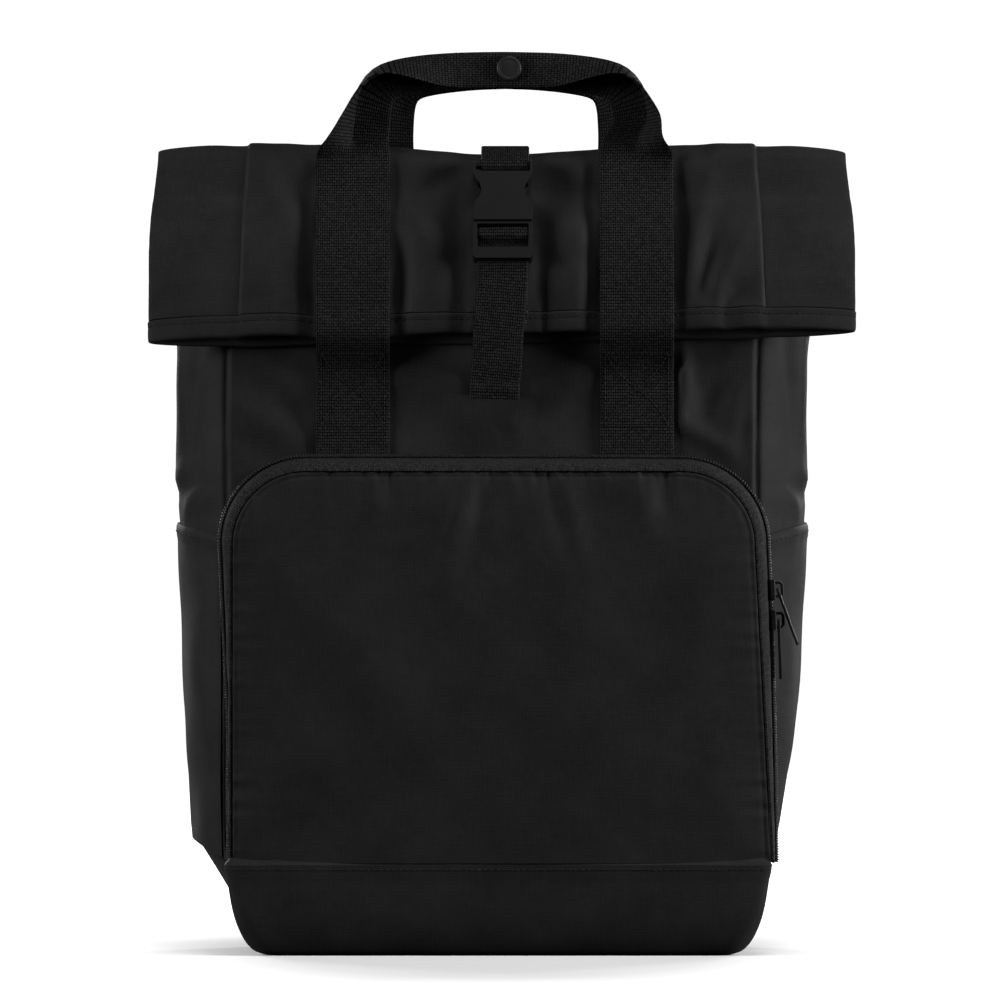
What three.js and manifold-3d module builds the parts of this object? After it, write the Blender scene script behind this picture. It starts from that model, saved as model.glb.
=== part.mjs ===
// A rolltop backpack: a cloth bag whose flat mouth is folded forward over its own front, held by a
// strap with a side-release buckle. It has a zipped front pocket, two slip pockets, twin carry handles
// that a press stud joins, and two padded shoulder straps on its back. Sizes are in millimetres. +X is
// to the right seen from the front, +Y to the back, +Z up. The origin is the middle of the flat floor
// that the bag stands on.
import * as THREE from "three";
import Module from "manifold-3d";

const wasm = await Module();
wasm.setup();

// The bag itself
const BAG_HEIGHT = 417; // floor to the top of the fold
const BODY_WIDTH = 326; // over both gussets
const PANEL_WIDTH = 272; // front panel, seam to seam
const BODY_DEPTH = 86; // front panel to back panel
const FLAP_WIDTH = 363; // the flattened mouth, crease to crease
const FLAP_PANEL_WIDTH = 271; // back panel where it hangs down in front
const FLAP_DROP = 101; // top of the fold to the mouth's hem
const FLAT_DEPTH = 9.6; // the flattened tube, outside to outside
const ROLL_RADIUS = 7; // of the flattened tube's middle line over the fold
const CLOTH = 1.6;
const GAP = 0.3; // between pieces that are sewn or seated on each other
const BASE_BAND = 47; // height of the base seam
const SIDE_LIFT = 11; // the base seam is this much higher in the middle of a gusset
const HEM_HEIGHT = 11;
const HEM_EXTRA = 0.5; // a hem is this much thicker on each face
const HEM_TILT = 6; // the mouth hangs lower on the left
const INNER_LAYER_DROP = 4.6; // the mouth's inner layer hangs lower than its outer one
const CREST_DIP = 5.8; // the closing strap pulls the fold down
const CREST_DIP_REACH = 65;

// The front pocket
const POCKET_TOP = 247.5;
const POCKET_WIDTH = 272;
const POCKET_SPREAD = 3.9; // its right edge stands this much further out at the bottom
const POCKET_CORNER = 38;
const POCKET_DEPTH = 33; // from the front panel to the edge of the pocket's face
const POCKET_CROWN = 7; // how far the face bulges beyond its edge
const ZIP_TAPE = 12.5; // from the face's edge to the coil
const COIL_RADIUS = 1.7;

// Webbing, the buckle and the press stud
const WEB_WIDTH = 38;
const WEB_THICK = 1.6;
const LEFT_LEG = -75.5; // middle of the left handle leg
const RIGHT_LEG = 70.3;
const HANDLE_RISE = 48.5; // from the top of the fold to the top of the grip
const STUD_RADIUS = 6.4;
const STUD_X = 4.7;
const LEG_CLEAR = 4.6; // from the pocket's top to the handle legs' lower ends
const SEWN_CLEAR = 16; // the front legs are sewn flat up to this far below the mouth
const REAR_LEG_LENGTH = 81; // of the rear handle's sewn legs, below the top of the fold
const REAR_LEFT_LEG = -63;
const REAR_RIGHT_LEG = 69;
const CLOSURE_WIDTH = 25.4;
const CLOSURE_THICK = 1.5;
const CLOSURE_X = 1.5;
const TAIL_DROP = 32; // the free end hangs this far below the mouth
const BUCKLE_WIDTH = 32;
const BUCKLE_LENGTH = 61; // adjuster frame and socket together
const BUCKLE_THICK = 8.4;
const BUCKLE_DROP = 12.5; // from the top of the fold to the buckle's top
const BUCKLE_SEAT = 52.5; // length of the flap that the buckle lies along
const BACK_TACK = 45; // the upper strap is sewn to the back this far below the top of the fold

// The shoulder straps
const PAD_LENGTH = 226;
const PAD_WIDTH = 58;
const PAD_THICK = 11;
const PAD_WEB_WIDTH = 25.4;
const PAD_DROP = 89; // from the top of the fold to the pads' upper ends
const PAD_REACH = 88; // from the bag's middle to a pad's lower end

const LIGHT_CLOTH = 0x232323;
const NEAR_BLACK = 0x101010;
const cloth = () => new THREE.MeshStandardMaterial({ color: LIGHT_CLOTH, roughness: 0.72, metalness: 0 });
const webbing = () => new THREE.MeshStandardMaterial({ color: NEAR_BLACK, roughness: 0.85, metalness: 0 });
const plastic = () => new THREE.MeshStandardMaterial({ color: 0x1b1b1b, roughness: 0.45, metalness: 0 });
const painted = () => new THREE.MeshStandardMaterial({ color: 0x1e1e1e, roughness: 0.4, metalness: 0.4 });

const bag = new THREE.Group();

function addPiece(name, geometry, material, parent = bag) {
  const mesh = new THREE.Mesh(geometry, material);
  mesh.name = name;
  parent.add(mesh);
  return mesh;
}

const lerp = THREE.MathUtils.lerp;
const clamp = THREE.MathUtils.clamp;
const smooth = (low, high, x) => THREE.MathUtils.smoothstep(x, low, high);
const bell = (x, middle, reach) => Math.exp(-(((x - middle) / reach) ** 2));
const vec = (x, y, z) => new THREE.Vector3(x, y, z);

// A closed geometry from shared points and triangles: doubles are merged, triangles that collapse are
// dropped, and the faces are turned outwards.
function closedGeometry(points, triangles) {
  const keys = new Map();
  const kept = [];
  const index = points.map((p) => {
    const key = [p.x, p.y, p.z].map((c) => Math.round(c * 500)).join(" ");
    if (!keys.has(key)) {
      keys.set(key, kept.length);
      kept.push(p);
    }
    return keys.get(key);
  });
  const joined = triangles.map((t) => t.map((i) => index[i]));
  const faces = joined.filter(([a, b, c]) => a !== b && b !== c && a !== c);
  let volume = 0;
  for (const [a, b, c] of faces) volume += kept[a].dot(vec(0, 0, 0).crossVectors(kept[b], kept[c]));
  if (volume < 0) faces.forEach((f) => f.reverse());
  const geometry = new THREE.BufferGeometry();
  const numbers = kept.flatMap((p) => [p.x, p.y, p.z]);
  geometry.setAttribute("position", new THREE.Float32BufferAttribute(numbers, 3));
  geometry.setIndex(faces.flat());
  geometry.computeVertexNormals();
  return geometry;
}

// A wall between two surfaces given as outer(u, v) and inner(u, v) over the same lists of u and v
// values. With closed = true the last u joins the first.
function wall(outer, inner, us, vs, closed = false) {
  const points = [];
  const triangles = [];
  for (const surface of [outer, inner]) for (const u of us) for (const v of vs) points.push(surface(u, v));
  const rows = vs.length;
  const layer = us.length * rows;
  const at = (k, i, j) => k * layer + (i % us.length) * rows + j;
  const quad = (a, b, c, d) => triangles.push([a, b, c], [a, c, d]);
  const columns = closed ? us.length : us.length - 1;
  for (let i = 0; i < columns; i++) {
    for (let j = 0; j < rows - 1; j++) {
      quad(at(0, i, j), at(0, i + 1, j), at(0, i + 1, j + 1), at(0, i, j + 1));
      quad(at(1, i, j + 1), at(1, i + 1, j + 1), at(1, i + 1, j), at(1, i, j));
    }
    quad(at(0, i + 1, 0), at(0, i, 0), at(1, i, 0), at(1, i + 1, 0));
    quad(at(0, i, rows - 1), at(0, i + 1, rows - 1), at(1, i + 1, rows - 1), at(1, i, rows - 1));
  }
  if (!closed)
    for (let j = 0; j < rows - 1; j++) {
      quad(at(0, 0, j), at(0, 0, j + 1), at(1, 0, j + 1), at(1, 0, j));
      const last = us.length - 1;
      quad(at(0, last, j + 1), at(0, last, j), at(1, last, j), at(1, last, j + 1));
    }
  return closedGeometry(points, triangles);
}

// The unit normal of a surface at (u, v), from two short steps on it.
function normalOf(surface, u, v, stepU = 1e-3, stepV = 1e-3) {
  const alongU = surface(u + stepU, v).sub(surface(u - stepU, v));
  const alongV = surface(u, v + stepV).sub(surface(u, v - stepV));
  return alongU.cross(alongV).normalize();
}

const steps = (from, to, count) => Array.from({ length: count + 1 }, (_, i) => lerp(from, to, i / count));

// A smooth function through the rows of a table: a cubic whose slope at each row is that of its two
// neighbours.
function through(positions, values) {
  const slopes = values.map((_, i) => {
    const a = Math.max(i - 1, 0);
    const b = Math.min(i + 1, values.length - 1);
    return (values[b] - values[a]) / (positions[b] - positions[a]);
  });
  return (x) => {
    let i = positions.findIndex((p) => p > x) - 1;
    if (i < 0) i = x < positions[0] ? 0 : positions.length - 2;
    const span = positions[i + 1] - positions[i];
    const t = (x - positions[i]) / span;
    const ease = t * t * (3 - 2 * t);
    const leave = t * (1 - t) ** 2 * span * slopes[i];
    const arrive = t * t * (t - 1) * span * slopes[i + 1];
    return values[i] * (1 - ease) + values[i + 1] * ease + leave + arrive;
  };
}

// The bag is one flat-ended tube. Each row is a section across it, from the base seam up to the fold.
// rise: height of its middle, of BAG_HEIGHT. back: its middle behind the origin, of BODY_DEPTH. deep:
// half its depth, of BODY_DEPTH. wide: half its width over the gussets, of BODY_WIDTH. seam: half its
// panels' width, of PANEL_WIDTH. lean: how far it stands to the side, of BODY_WIDTH. crown: how far its
// panels bulge in the middle, of BODY_DEPTH.
const BODY_SECTIONS = [
  { rise: 0.112, back: 0.08, deep: 0.485, wide: 0.4555, seam: 0.486, lean: -0.0245, crown: 0.03 },
  { rise: 0.198, back: 0.08, deep: 0.5, wide: 0.466, seam: 0.494, lean: -0.0195, crown: 0.05 },
  { rise: 0.3, back: 0.08, deep: 0.506, wide: 0.4767, seam: 0.498, lean: -0.0145, crown: 0.06 },
  { rise: 0.43, back: 0.08, deep: 0.506, wide: 0.4847, seam: 0.5, lean: -0.0126, crown: 0.06 },
  { rise: 0.53, back: 0.075, deep: 0.5, wide: 0.493, seam: 0.5, lean: -0.0126, crown: 0.05 },
  { rise: 0.611, back: 0.064, deep: 0.477, wide: 0.4985, seam: 0.5, lean: -0.0135, crown: 0.035 },
  { rise: 0.692, back: 0.047, deep: 0.43, wide: 0.499, seam: 0.5, lean: -0.0132, crown: 0.03 },
  { rise: 0.742, back: 0.035, deep: 0.39, wide: 0.5, seam: 0.5, lean: -0.012, crown: 0.03 },
  { rise: 0.811, back: 0.03, deep: 0.3, wide: 0.512, seam: 0.5, lean: -0.0075, crown: 0.02 },
  { rise: 0.878, back: 0.034, deep: 0.188, wide: 0.534, seam: 0.499, lean: -0.003, crown: 0.01 },
];
// From the fold down to the hem. drop: of FLAP_DROP below the fold. front: its middle before the
// origin, of BODY_DEPTH. deep: of FLAT_DEPTH. wide: half its width, of FLAP_WIDTH. seam: half the
// panel, of FLAP_PANEL_WIDTH. crown: how far the outer layer bulges between the straps, of FLAT_DEPTH.
const FLAP_SECTIONS = [
  { drop: 0.26, front: 0.176, deep: 0.46, wide: 0.494, seam: 0.49, crown: 0.05 },
  { drop: 0.38, front: 0.243, deep: 0.49, wide: 0.498, seam: 0.493, crown: 0.2 },
  { drop: 0.54, front: 0.32, deep: 0.52, wide: 0.5, seam: 0.496, crown: 0.4 },
  { drop: 0.7, front: 0.38, deep: 0.54, wide: 0.5, seam: 0.498, crown: 0.4 },
  { drop: 0.86, front: 0.42, deep: 0.55, wide: 0.5, seam: 0.5, crown: 0.25 },
  { drop: 1, front: 0.445, deep: 0.56, wide: 0.499, seam: 0.5, crown: 0.08 },
];
const FLAP_LEAN = 1;
const FLAP_REST = 0.8; // least room between the hanging flap and the front panel

// The same rows in millimetres, with the fold's arc between the two tables.
function tubeRows() {
  const rows = BODY_SECTIONS.map((r) => ({
    y: r.back * BODY_DEPTH,
    z: r.rise * BAG_HEIGHT,
    deep: r.deep * BODY_DEPTH,
    wide: r.wide * BODY_WIDTH,
    seam: r.seam * PANEL_WIDTH,
    lean: r.lean * BODY_WIDTH,
    crown: r.crown * BODY_DEPTH,
    flap: 0,
  }));
  const arcHeight = BAG_HEIGHT - FLAT_DEPTH / 2 - ROLL_RADIUS;
  const arcMiddle = -0.04 * BODY_DEPTH;
  for (const turn of [-20, 15, 55, 90, 125, 160]) {
    const angle = THREE.MathUtils.degToRad(turn);
    rows.push({
      y: arcMiddle + ROLL_RADIUS * Math.cos(angle),
      z: arcHeight + ROLL_RADIUS * Math.sin(angle) - (turn < 0 ? ROLL_RADIUS : 0),
      deep: (FLAT_DEPTH / 2) * (turn < 0 ? 1.45 : 1),
      wide: FLAP_WIDTH * 0.489,
      seam: FLAP_PANEL_WIDTH * 0.486,
      lean: FLAP_LEAN * (turn < 0 ? 0 : 1),
      crown: 0,
      flap: 0,
    });
  }
  const heights = rows.slice(0, BODY_SECTIONS.length).map((r) => r.z);
  const panelY = through(heights, rows.slice(0, BODY_SECTIONS.length).map((r) => r.y - r.deep - r.crown));
  for (const r of FLAP_SECTIONS) {
    const z = BAG_HEIGHT - r.drop * FLAP_DROP;
    const resting = z < heights[heights.length - 1] ? panelY(z) - r.deep * FLAT_DEPTH - FLAP_REST : 0;
    rows.push({
      y: Math.min(-r.front * BODY_DEPTH, resting),
      z,
      deep: r.deep * FLAT_DEPTH,
      wide: r.wide * FLAP_WIDTH,
      seam: r.seam * FLAP_PANEL_WIDTH,
      lean: FLAP_LEAN,
      crown: r.crown * FLAT_DEPTH,
      flap: smooth(0.2, 1, r.drop),
    });
  }
  return rows;
}

const ROWS = tubeRows();
// How far along the tube's middle line each row lies.
const RUN = ROWS.reduce((run, r, i) => {
  if (i) run[i] = run[i - 1] + Math.hypot(r.y - ROWS[i - 1].y, r.z - ROWS[i - 1].z);
  return run;
}, [0]);
const COLUMN = {};
for (const key of Object.keys(ROWS[0])) COLUMN[key] = through(RUN, ROWS.map((r) => r[key]));
const FOLD_ROW = BODY_SECTIONS.length + 3; // the row at the top of the fold
const FOLD_RUN = RUN[FOLD_ROW];
const MOUTH_RUN = RUN[ROWS.length - 1];
const HEM_RUN = MOUTH_RUN - HEM_HEIGHT;

// Main folds and dents of the cloth, as soft bumps along the panel's own depth. panel: which one. side:
// place across, of half its width. run: place along the tube, of its whole run. across, along: its
// reach, of the same lengths. height: outward, of BODY_DEPTH.
const FOLDS = [
  { panel: "front", side: 0.66, run: 0.33, across: 0.16, along: 0.035, height: -0.06 },
  { panel: "front", side: 0.52, run: 0.35, across: 0.1, along: 0.06, height: 0.035 },
  { panel: "front", side: -0.72, run: 0.35, across: 0.2, along: 0.04, height: -0.035 },
  { panel: "back", side: -0.3, run: 0.86, across: 0.16, along: 0.06, height: 0.03 },
  { panel: "back", side: 0.32, run: 0.87, across: 0.14, along: 0.05, height: 0.03 },
  { panel: "back", side: -0.86, run: 0.85, across: 0.12, along: 0.06, height: 0.02 },
  { panel: "back", side: 0.8, run: 0.88, across: 0.1, along: 0.05, height: -0.02 },
  { panel: "back", side: 0.0, run: 0.3, across: 0.45, along: 0.2, height: 0.03 },
];

function foldsAt(panel, t, run) {
  const share = run / MOUTH_RUN;
  let height = 0;
  for (const f of FOLDS)
    if (f.panel === panel) height += f.height * bell(t, f.side, f.across) * bell(share, f.run, f.along);
  return height * BODY_DEPTH * (1 - t ** 6);
}

// How much the handle legs press the hanging flap flat, 0 to 1.
const legPinch = (x) => bell(x, LEFT_LEG, WEB_WIDTH * 0.62) + bell(x, RIGHT_LEG, WEB_WIDTH * 0.62);

const GUSSET_POWER = 2.2; // of the curve between a gusset's two seams: 2 is a parabola

// One section's outline: x across and b towards the back panel, for a place t on one of the four
// panels, both taken in by inset. On the front and back panels t runs from the left seam to the right
// one, on the gussets from front to back.
function sectionPoint(row, panel, t, run, inset) {
  const deep = row.deep * (1 - 0.42 * row.flap * legPinch(t * row.seam));
  if (panel === "front" || panel === "back") {
    const side = panel === "back" ? 1 : -1;
    const crown = row.crown * (1 - t * t) * (row.flap > 0 && side < 0 ? 0.3 : 1);
    return { x: t * row.seam, b: side * (deep + crown + foldsAt(panel, t, run) - inset) };
  }
  const side = panel === "right" ? 1 : -1;
  const bulge = (row.wide - row.seam - inset) * (1 - Math.abs(t) ** GUSSET_POWER);
  return { x: side * (row.seam + bulge), b: (row.deep - inset) * t };
}

// The fold is lowest in the middle and droops a little at its two corners.
function crestDrop(x, z) {
  const high = smooth(0.7 * BAG_HEIGHT, BAG_HEIGHT, z);
  const corner = (Math.abs(x) / (FLAP_WIDTH / 2)) ** 6 * (x > 0 ? 0.9 : 0.1);
  return high * (CREST_DIP * bell(x, 0, CREST_DIP_REACH) + corner);
}

// A point on the tube's cloth, inset inwards from its outer face.
function tubePoint(panel, t, run, inset = 0) {
  const row = {};
  for (const key of Object.keys(COLUMN)) row[key] = COLUMN[key](run);
  const ahead = run + 0.5;
  const behind = run - 0.5;
  const along = new THREE.Vector2(COLUMN.y(ahead) - COLUMN.y(behind), COLUMN.z(ahead) - COLUMN.z(behind));
  along.normalize();
  const p = sectionPoint(row, panel, t, run, inset);
  const b = p.b;
  const layer = (INNER_LAYER_DROP / 2) * clamp(b / row.deep, -1, 1);
  const slide = row.flap * (-layer - (HEM_TILT / 2) * (p.x / row.wide));
  let z = row.z - along.x * b + along.y * slide;
  const y = row.y + along.y * b + along.x * slide;
  if (panel === "left" || panel === "right")
    z += SIDE_LIFT * (1 - t * t) * (1 - smooth(BASE_BAND, 2.6 * BASE_BAND, row.z));
  return vec(p.x + row.lean, y, z - crestDrop(p.x, z));
}

// A point above the outer face of a panel at a given x, and the way out there: what lies on the bag
// follows these.
function onPanel(panel, x, run, above) {
  const seam = COLUMN.seam(run);
  const t = (x - COLUMN.lean(run)) / seam;
  const surface = (u, v) => tubePoint(panel, u, v);
  const out = normalOf(surface, t, run, 1e-2, 0.5).multiplyScalar(panel === "back" ? -1 : 1);
  return surface(t, run).addScaledVector(out, above);
}

// The run at which a panel's middle reaches a height on its way up, or on its way down the flap.
function runAtHeight(z, onFlap = false) {
  let low = onFlap ? FOLD_RUN : 0;
  let high = onFlap ? MOUTH_RUN : FOLD_RUN;
  for (let i = 0; i < 40; i++) {
    const middle = (low + high) / 2;
    if (COLUMN.z(middle) < z !== onFlap) low = middle;
    else high = middle;
  }
  return (low + high) / 2;
}

// The four panels, each from the base seam over the fold to the mouth's hem.
const BODY_SHARES = [0, 0.105, 0.227, 0.35, 0.481, 0.583, 0.671, 0.743, 0.816, 0.883, 0.948, 1];
const BODY_STEPS = BODY_SHARES.map((share) => share * RUN[BODY_SECTIONS.length]);
const FOLD_STEPS = RUN.slice(BODY_SECTIONS.length + 1, BODY_SECTIONS.length + 6);
const FLAP_STEPS = steps(RUN[BODY_SECTIONS.length + 6], HEM_RUN - GAP, 7);
const PANEL_RUNS = [...BODY_STEPS, ...FOLD_STEPS, ...FLAP_STEPS];
PANEL_RUNS[0] += GAP;

function bagPanel(panel, count) {
  const gusset = panel === "left" || panel === "right";
  const edge = gusset ? 0.996 : 1 - GAP / PANEL_WIDTH;
  const outer = (t, run) => tubePoint(panel, t, run);
  const inner = (t, run) => tubePoint(panel, t, run, CLOTH);
  return wall(outer, inner, steps(-edge, edge, count), PANEL_RUNS);
}

addPiece("front_panel", bagPanel("front", 10), cloth());
addPiece("back_panel", bagPanel("back", 12), cloth());
addPiece("gusset_left", bagPanel("left", 6), cloth());
addPiece("gusset_right", bagPanel("right", 6), cloth());

// Places round one section: across the front, round the right gusset, across the back and round the
// left gusset.
function sectionLoop(panelCount, gussetCount) {
  const places = [];
  const add = (panel, from, to, count) => {
    for (let i = 0; i < count; i++) places.push({ panel, t: lerp(from, to, i / count) });
  };
  add("front", -1, 1, panelCount);
  add("right", -1, 1, gussetCount);
  add("back", 1, -1, panelCount);
  add("left", 1, -1, gussetCount);
  return places;
}

// The folded hem round the mouth, a little thicker than the cloth.
const hemSurface = (inset) => (place, run) => tubePoint(place.panel, place.t, run, inset);
const hemInside = hemSurface(CLOTH + HEM_EXTRA / 2);
addPiece(
  "mouth_hem",
  wall(hemSurface(-HEM_EXTRA), hemInside, sectionLoop(12, 5), [HEM_RUN, MOUTH_RUN], true),
  cloth(),
);

// The base: a tray from the base seam down to a flat floor. level: height, of BASE_BAND. wide, seam,
// deep: of the tube's own sizes at the seam. lean: of the tube's lean there.
const BASE_SECTIONS = [
  { level: 1, wide: 1, seam: 1, deep: 1, lean: 1 },
  { level: 0.62, wide: 0.915, seam: 0.98, deep: 0.985, lean: 0.8 },
  { level: 0.28, wide: 0.85, seam: 0.93, deep: 0.95, lean: 0.5 },
  { level: 0.07, wide: 0.8, seam: 0.88, deep: 0.9, lean: 0.3 },
  { level: 0, wide: 0.77, seam: 0.85, deep: 0.82, lean: 0.2 },
];
const BASE_FLOOR = BASE_SECTIONS.length - 1;

function basePoint(place, level, inset) {
  const floorShare = clamp(1 - (level - BASE_FLOOR), 0, 1); // the floor shrinks to its middle
  const r = BASE_SECTIONS[Math.min(level, BASE_FLOOR)];
  const seamRow = { deep: ROWS[0].deep * r.deep, wide: ROWS[0].wide * r.wide, seam: ROWS[0].seam * r.seam };
  const row = { ...seamRow, crown: ROWS[0].crown * r.level, flap: 0 };
  const p = sectionPoint(row, place.panel, place.t, 0, inset);
  const gusset = place.panel === "left" || place.panel === "right";
  const lift = gusset ? SIDE_LIFT * (1 - place.t ** 2) * r.level : 0;
  const rim = level === 0 ? GAP / 2 : 0;
  const floorThickness = level >= BASE_FLOOR ? inset : inset * 0.5 * (1 - r.level);
  return vec(
    p.x * floorShare + ROWS[0].lean * r.lean,
    p.b * floorShare + ROWS[0].y,
    (r.level * ROWS[0].z) + lift - rim + floorThickness,
  );
}

addPiece(
  "base_tray",
  wall(
    (place, level) => basePoint(place, level, 0),
    (place, level) => basePoint(place, level, CLOTH),
    sectionLoop(8, 5),
    [0, 1, 2, 3, 4, 5],
    true,
  ),
  cloth(),
);

// A slip pocket lies over each gusset from the base seam to its own hem.
const SIDE_POCKET_TOP = 221;
const SIDE_POCKET_DIP = 7; // its hem is this much lower at the seams
const SIDE_POCKET_CLEAR = 0.9;

function sidePocket(panel) {
  const topRun = runAtHeight(SIDE_POCKET_TOP);
  const hemShare = 1 - 7 / topRun;
  const surface = (extra) => (t, share) => {
    const run = lerp(GAP * 2, topRun - SIDE_POCKET_DIP * t * t, share);
    const hem = share > hemShare - 1e-6 ? HEM_EXTRA : 0;
    const slack = SIDE_POCKET_CLEAR * (1 - t ** 4) + extra * (CLOTH + hem);
    return tubePoint(panel, t, run, -slack - GAP);
  };
  const levels = [0, 0.25, 0.5, 0.75, hemShare - 0.004, hemShare, 1];
  return wall(surface(1), surface(0), steps(-0.93, 0.93, 6), levels);
}
addPiece("side_pocket_left", sidePocket("left"), cloth());
addPiece("side_pocket_right", sidePocket("right"), cloth());

// The front pocket's outline, seen from the front: up the left side, round two corners, down the right
// side.
const POCKET_BACK_Y = ROWS[0].y - ROWS[0].deep; // the front panel's plane
const POCKET_EDGE_Y = POCKET_BACK_Y - POCKET_DEPTH;
const POCKET_LEFT = -POCKET_WIDTH / 2 - 1.1;

function pocketOutline() {
  const outline = new THREE.Path();
  const right = POCKET_LEFT + POCKET_WIDTH;
  const bend = 0.55; // of the corner, for the handles of a round bend
  const c = POCKET_CORNER;
  const left = POCKET_LEFT;
  const top = POCKET_TOP;
  const near = c * (1 - bend);
  outline.moveTo(left, BASE_BAND + GAP);
  outline.lineTo(left, top - c);
  outline.bezierCurveTo(left, top - near, left + near, top, left + c, top);
  outline.lineTo(right - c - POCKET_SPREAD, top);
  const foot = right + POCKET_SPREAD;
  const shoulder = right - POCKET_SPREAD * 1.1;
  outline.bezierCurveTo(shoulder - near, top, shoulder, top - near, shoulder, top - c);
  outline.lineTo(foot, BASE_BAND + GAP);
  return outline;
}
const OUTLINE = pocketOutline();
const OUTLINE_LENGTH = OUTLINE.getLength();

// A point at a share of the outline, moved outwards in its plane by spread, at the depth y.
function aroundPocket(share, spread, y) {
  const at = clamp(share, 0, 1);
  const p = OUTLINE.getPointAt(at);
  const d = OUTLINE.getTangentAt(at);
  return vec(p.x - d.y * spread, y, p.y + d.x * spread);
}
const SIDE_SHARE = (POCKET_TOP - POCKET_CORNER - BASE_BAND) / OUTLINE_LENGTH;
const CORNER_SHARE = (POCKET_CORNER * 1.6) / OUTLINE_LENGTH;
const RING_SHARES = [
  ...steps(0, SIDE_SHARE, 4),
  ...steps(SIDE_SHARE, SIDE_SHARE + CORNER_SHARE, 5).slice(1),
  ...steps(SIDE_SHARE + CORNER_SHARE, 1 - SIDE_SHARE - CORNER_SHARE, 5).slice(1),
  ...steps(1 - SIDE_SHARE - CORNER_SHARE, 1 - SIDE_SHARE, 5).slice(1),
  ...steps(1 - SIDE_SHARE, 1, 4).slice(1),
];

// The tape leans outwards on its way back, less so low down. place: share of the pocket's outline from
// its lower left end. spread: how far the coil stands out beyond the face's edge.
const TAPE_LEAN = [
  { place: 0, spread: 1 },
  { place: 0.11, spread: 1.4 },
  { place: 0.2, spread: 4 },
  { place: 0.3, spread: 6.6 },
  { place: 0.5, spread: 7 },
  { place: 0.7, spread: 6.4 },
  { place: 0.86, spread: 5 },
  { place: 1, spread: 2.2 },
];
const tapeSpread = through(TAPE_LEAN.map((r) => r.place), TAPE_LEAN.map((r) => r.spread));
const TAPE_FRONT_Y = POCKET_EDGE_Y + 1.6;
const coilY = (share) => POCKET_EDGE_Y + Math.sqrt(ZIP_TAPE ** 2 - tapeSpread(share) ** 2);

// The pocket's face, bulging in the middle, with soft folds below its upper seam. side, across: of half
// its width. rise, along: of its height. height: outward, of POCKET_CROWN.
const FACE_FOLDS = [
  { side: -0.14, rise: 0.9, across: 0.09, along: 0.14, height: 0.16 },
  { side: 0.16, rise: 0.92, across: 0.09, along: 0.12, height: 0.14 },
  { side: 0.36, rise: 0.88, across: 0.1, along: 0.14, height: -0.1 },
  { side: 0.55, rise: 0.88, across: 0.09, along: 0.14, height: 0.12 },
];
const FACE_INSET = 0.8; // its edge lies this far inside the pocket's outline
const FACE_EDGE = steps(0, 1, 600).map((share) => aroundPocket(share, -FACE_INSET, 0));
const FACE_TOP = POCKET_TOP - FACE_INSET;
const FACE_ROWS = [
  ...steps(BASE_BAND + GAP, FACE_TOP - POCKET_CORNER, 6),
  ...steps(0, Math.PI / 2, 6).slice(1).map((turn) => FACE_TOP - POCKET_CORNER * (1 - Math.sin(turn))),
];

// The left and right ends of the face at a height.
function faceEnds(z) {
  const level = clamp(z, FACE_EDGE[0].z, FACE_TOP - 1e-4);
  const crossing = (points) => {
    const i = points.findIndex((p) => p.z >= level);
    const before = points[Math.max(i - 1, 0)];
    const share = i ? (level - before.z) / (points[i].z - before.z) : 0;
    return lerp(before.x, points[i].x, share);
  };
  return { left: crossing(FACE_EDGE), right: crossing([...FACE_EDGE].reverse()) };
}

function facePoint(side, z, back) {
  const ends = faceEnds(z);
  const x = lerp(ends.left, ends.right, (side + 1) / 2);
  const place = clamp((x - POCKET_LEFT - POCKET_WIDTH / 2) / (POCKET_WIDTH / 2), -1, 1);
  const rise = clamp((z - BASE_BAND) / (POCKET_TOP - BASE_BAND), 0, 1);
  const crown = (1 - Math.abs(place) ** 3) * (1 - rise ** 4);
  let bump = 0;
  for (const f of FACE_FOLDS) bump += f.height * bell(place, f.side, f.across) * bell(rise, f.rise, f.along);
  const inside = (1 - side ** 8) * smooth(FACE_TOP, FACE_TOP - 12, z);
  return vec(x, POCKET_EDGE_Y - POCKET_CROWN * (crown * (0.75 + 0.25 * rise) + bump * inside) + back, z);
}
const FACE_SIDES = [-1, -0.94, ...steps(-0.8, 0.8, 14), 0.94, 1];
addPiece(
  "pocket_face",
  wall((side, z) => facePoint(side, z, 0), (side, z) => facePoint(side, z, CLOTH), FACE_SIDES, FACE_ROWS),
  cloth(),
);

const tapeRing = (k, lift) => (share) => {
  const spread = lerp(0.6, tapeSpread(share), k);
  return aroundPocket(share, spread + lift, lerp(TAPE_FRONT_Y + 0.6, coilY(share) - COIL_RADIUS - GAP, k));
};
const TAPE_THICK = 1;
addPiece(
  "zip_tape",
  wall((s, k) => tapeRing(k, 0)(s), (s, k) => tapeRing(k, -TAPE_THICK)(s), RING_SHARES, [0, 1]),
  webbing(),
);

const coilRing = (share, angle) => {
  const spread = tapeSpread(share) - TAPE_THICK / 2 + COIL_RADIUS * Math.cos(angle);
  return aroundPocket(share, spread, coilY(share) + COIL_RADIUS * Math.sin(angle));
};
const COIL_SIDES = 6;
function coilTube() {
  const points = [];
  const triangles = [];
  RING_SHARES.forEach((share) => {
    for (let k = 0; k < COIL_SIDES; k++) points.push(coilRing(share, (k / COIL_SIDES) * 2 * Math.PI));
  });
  const at = (i, k) => i * COIL_SIDES + (k % COIL_SIDES);
  const last = RING_SHARES.length - 1;
  for (let i = 0; i < last; i++)
    for (let k = 0; k < COIL_SIDES; k++)
      triangles.push([at(i, k), at(i, k + 1), at(i + 1, k + 1)], [at(i, k), at(i + 1, k + 1), at(i + 1, k)]);
  for (let k = 1; k < COIL_SIDES - 1; k++)
    triangles.push([at(0, 0), at(0, k + 1), at(0, k)], [at(last, 0), at(last, k), at(last, k + 1)]);
  return closedGeometry(points, triangles);
}
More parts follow.
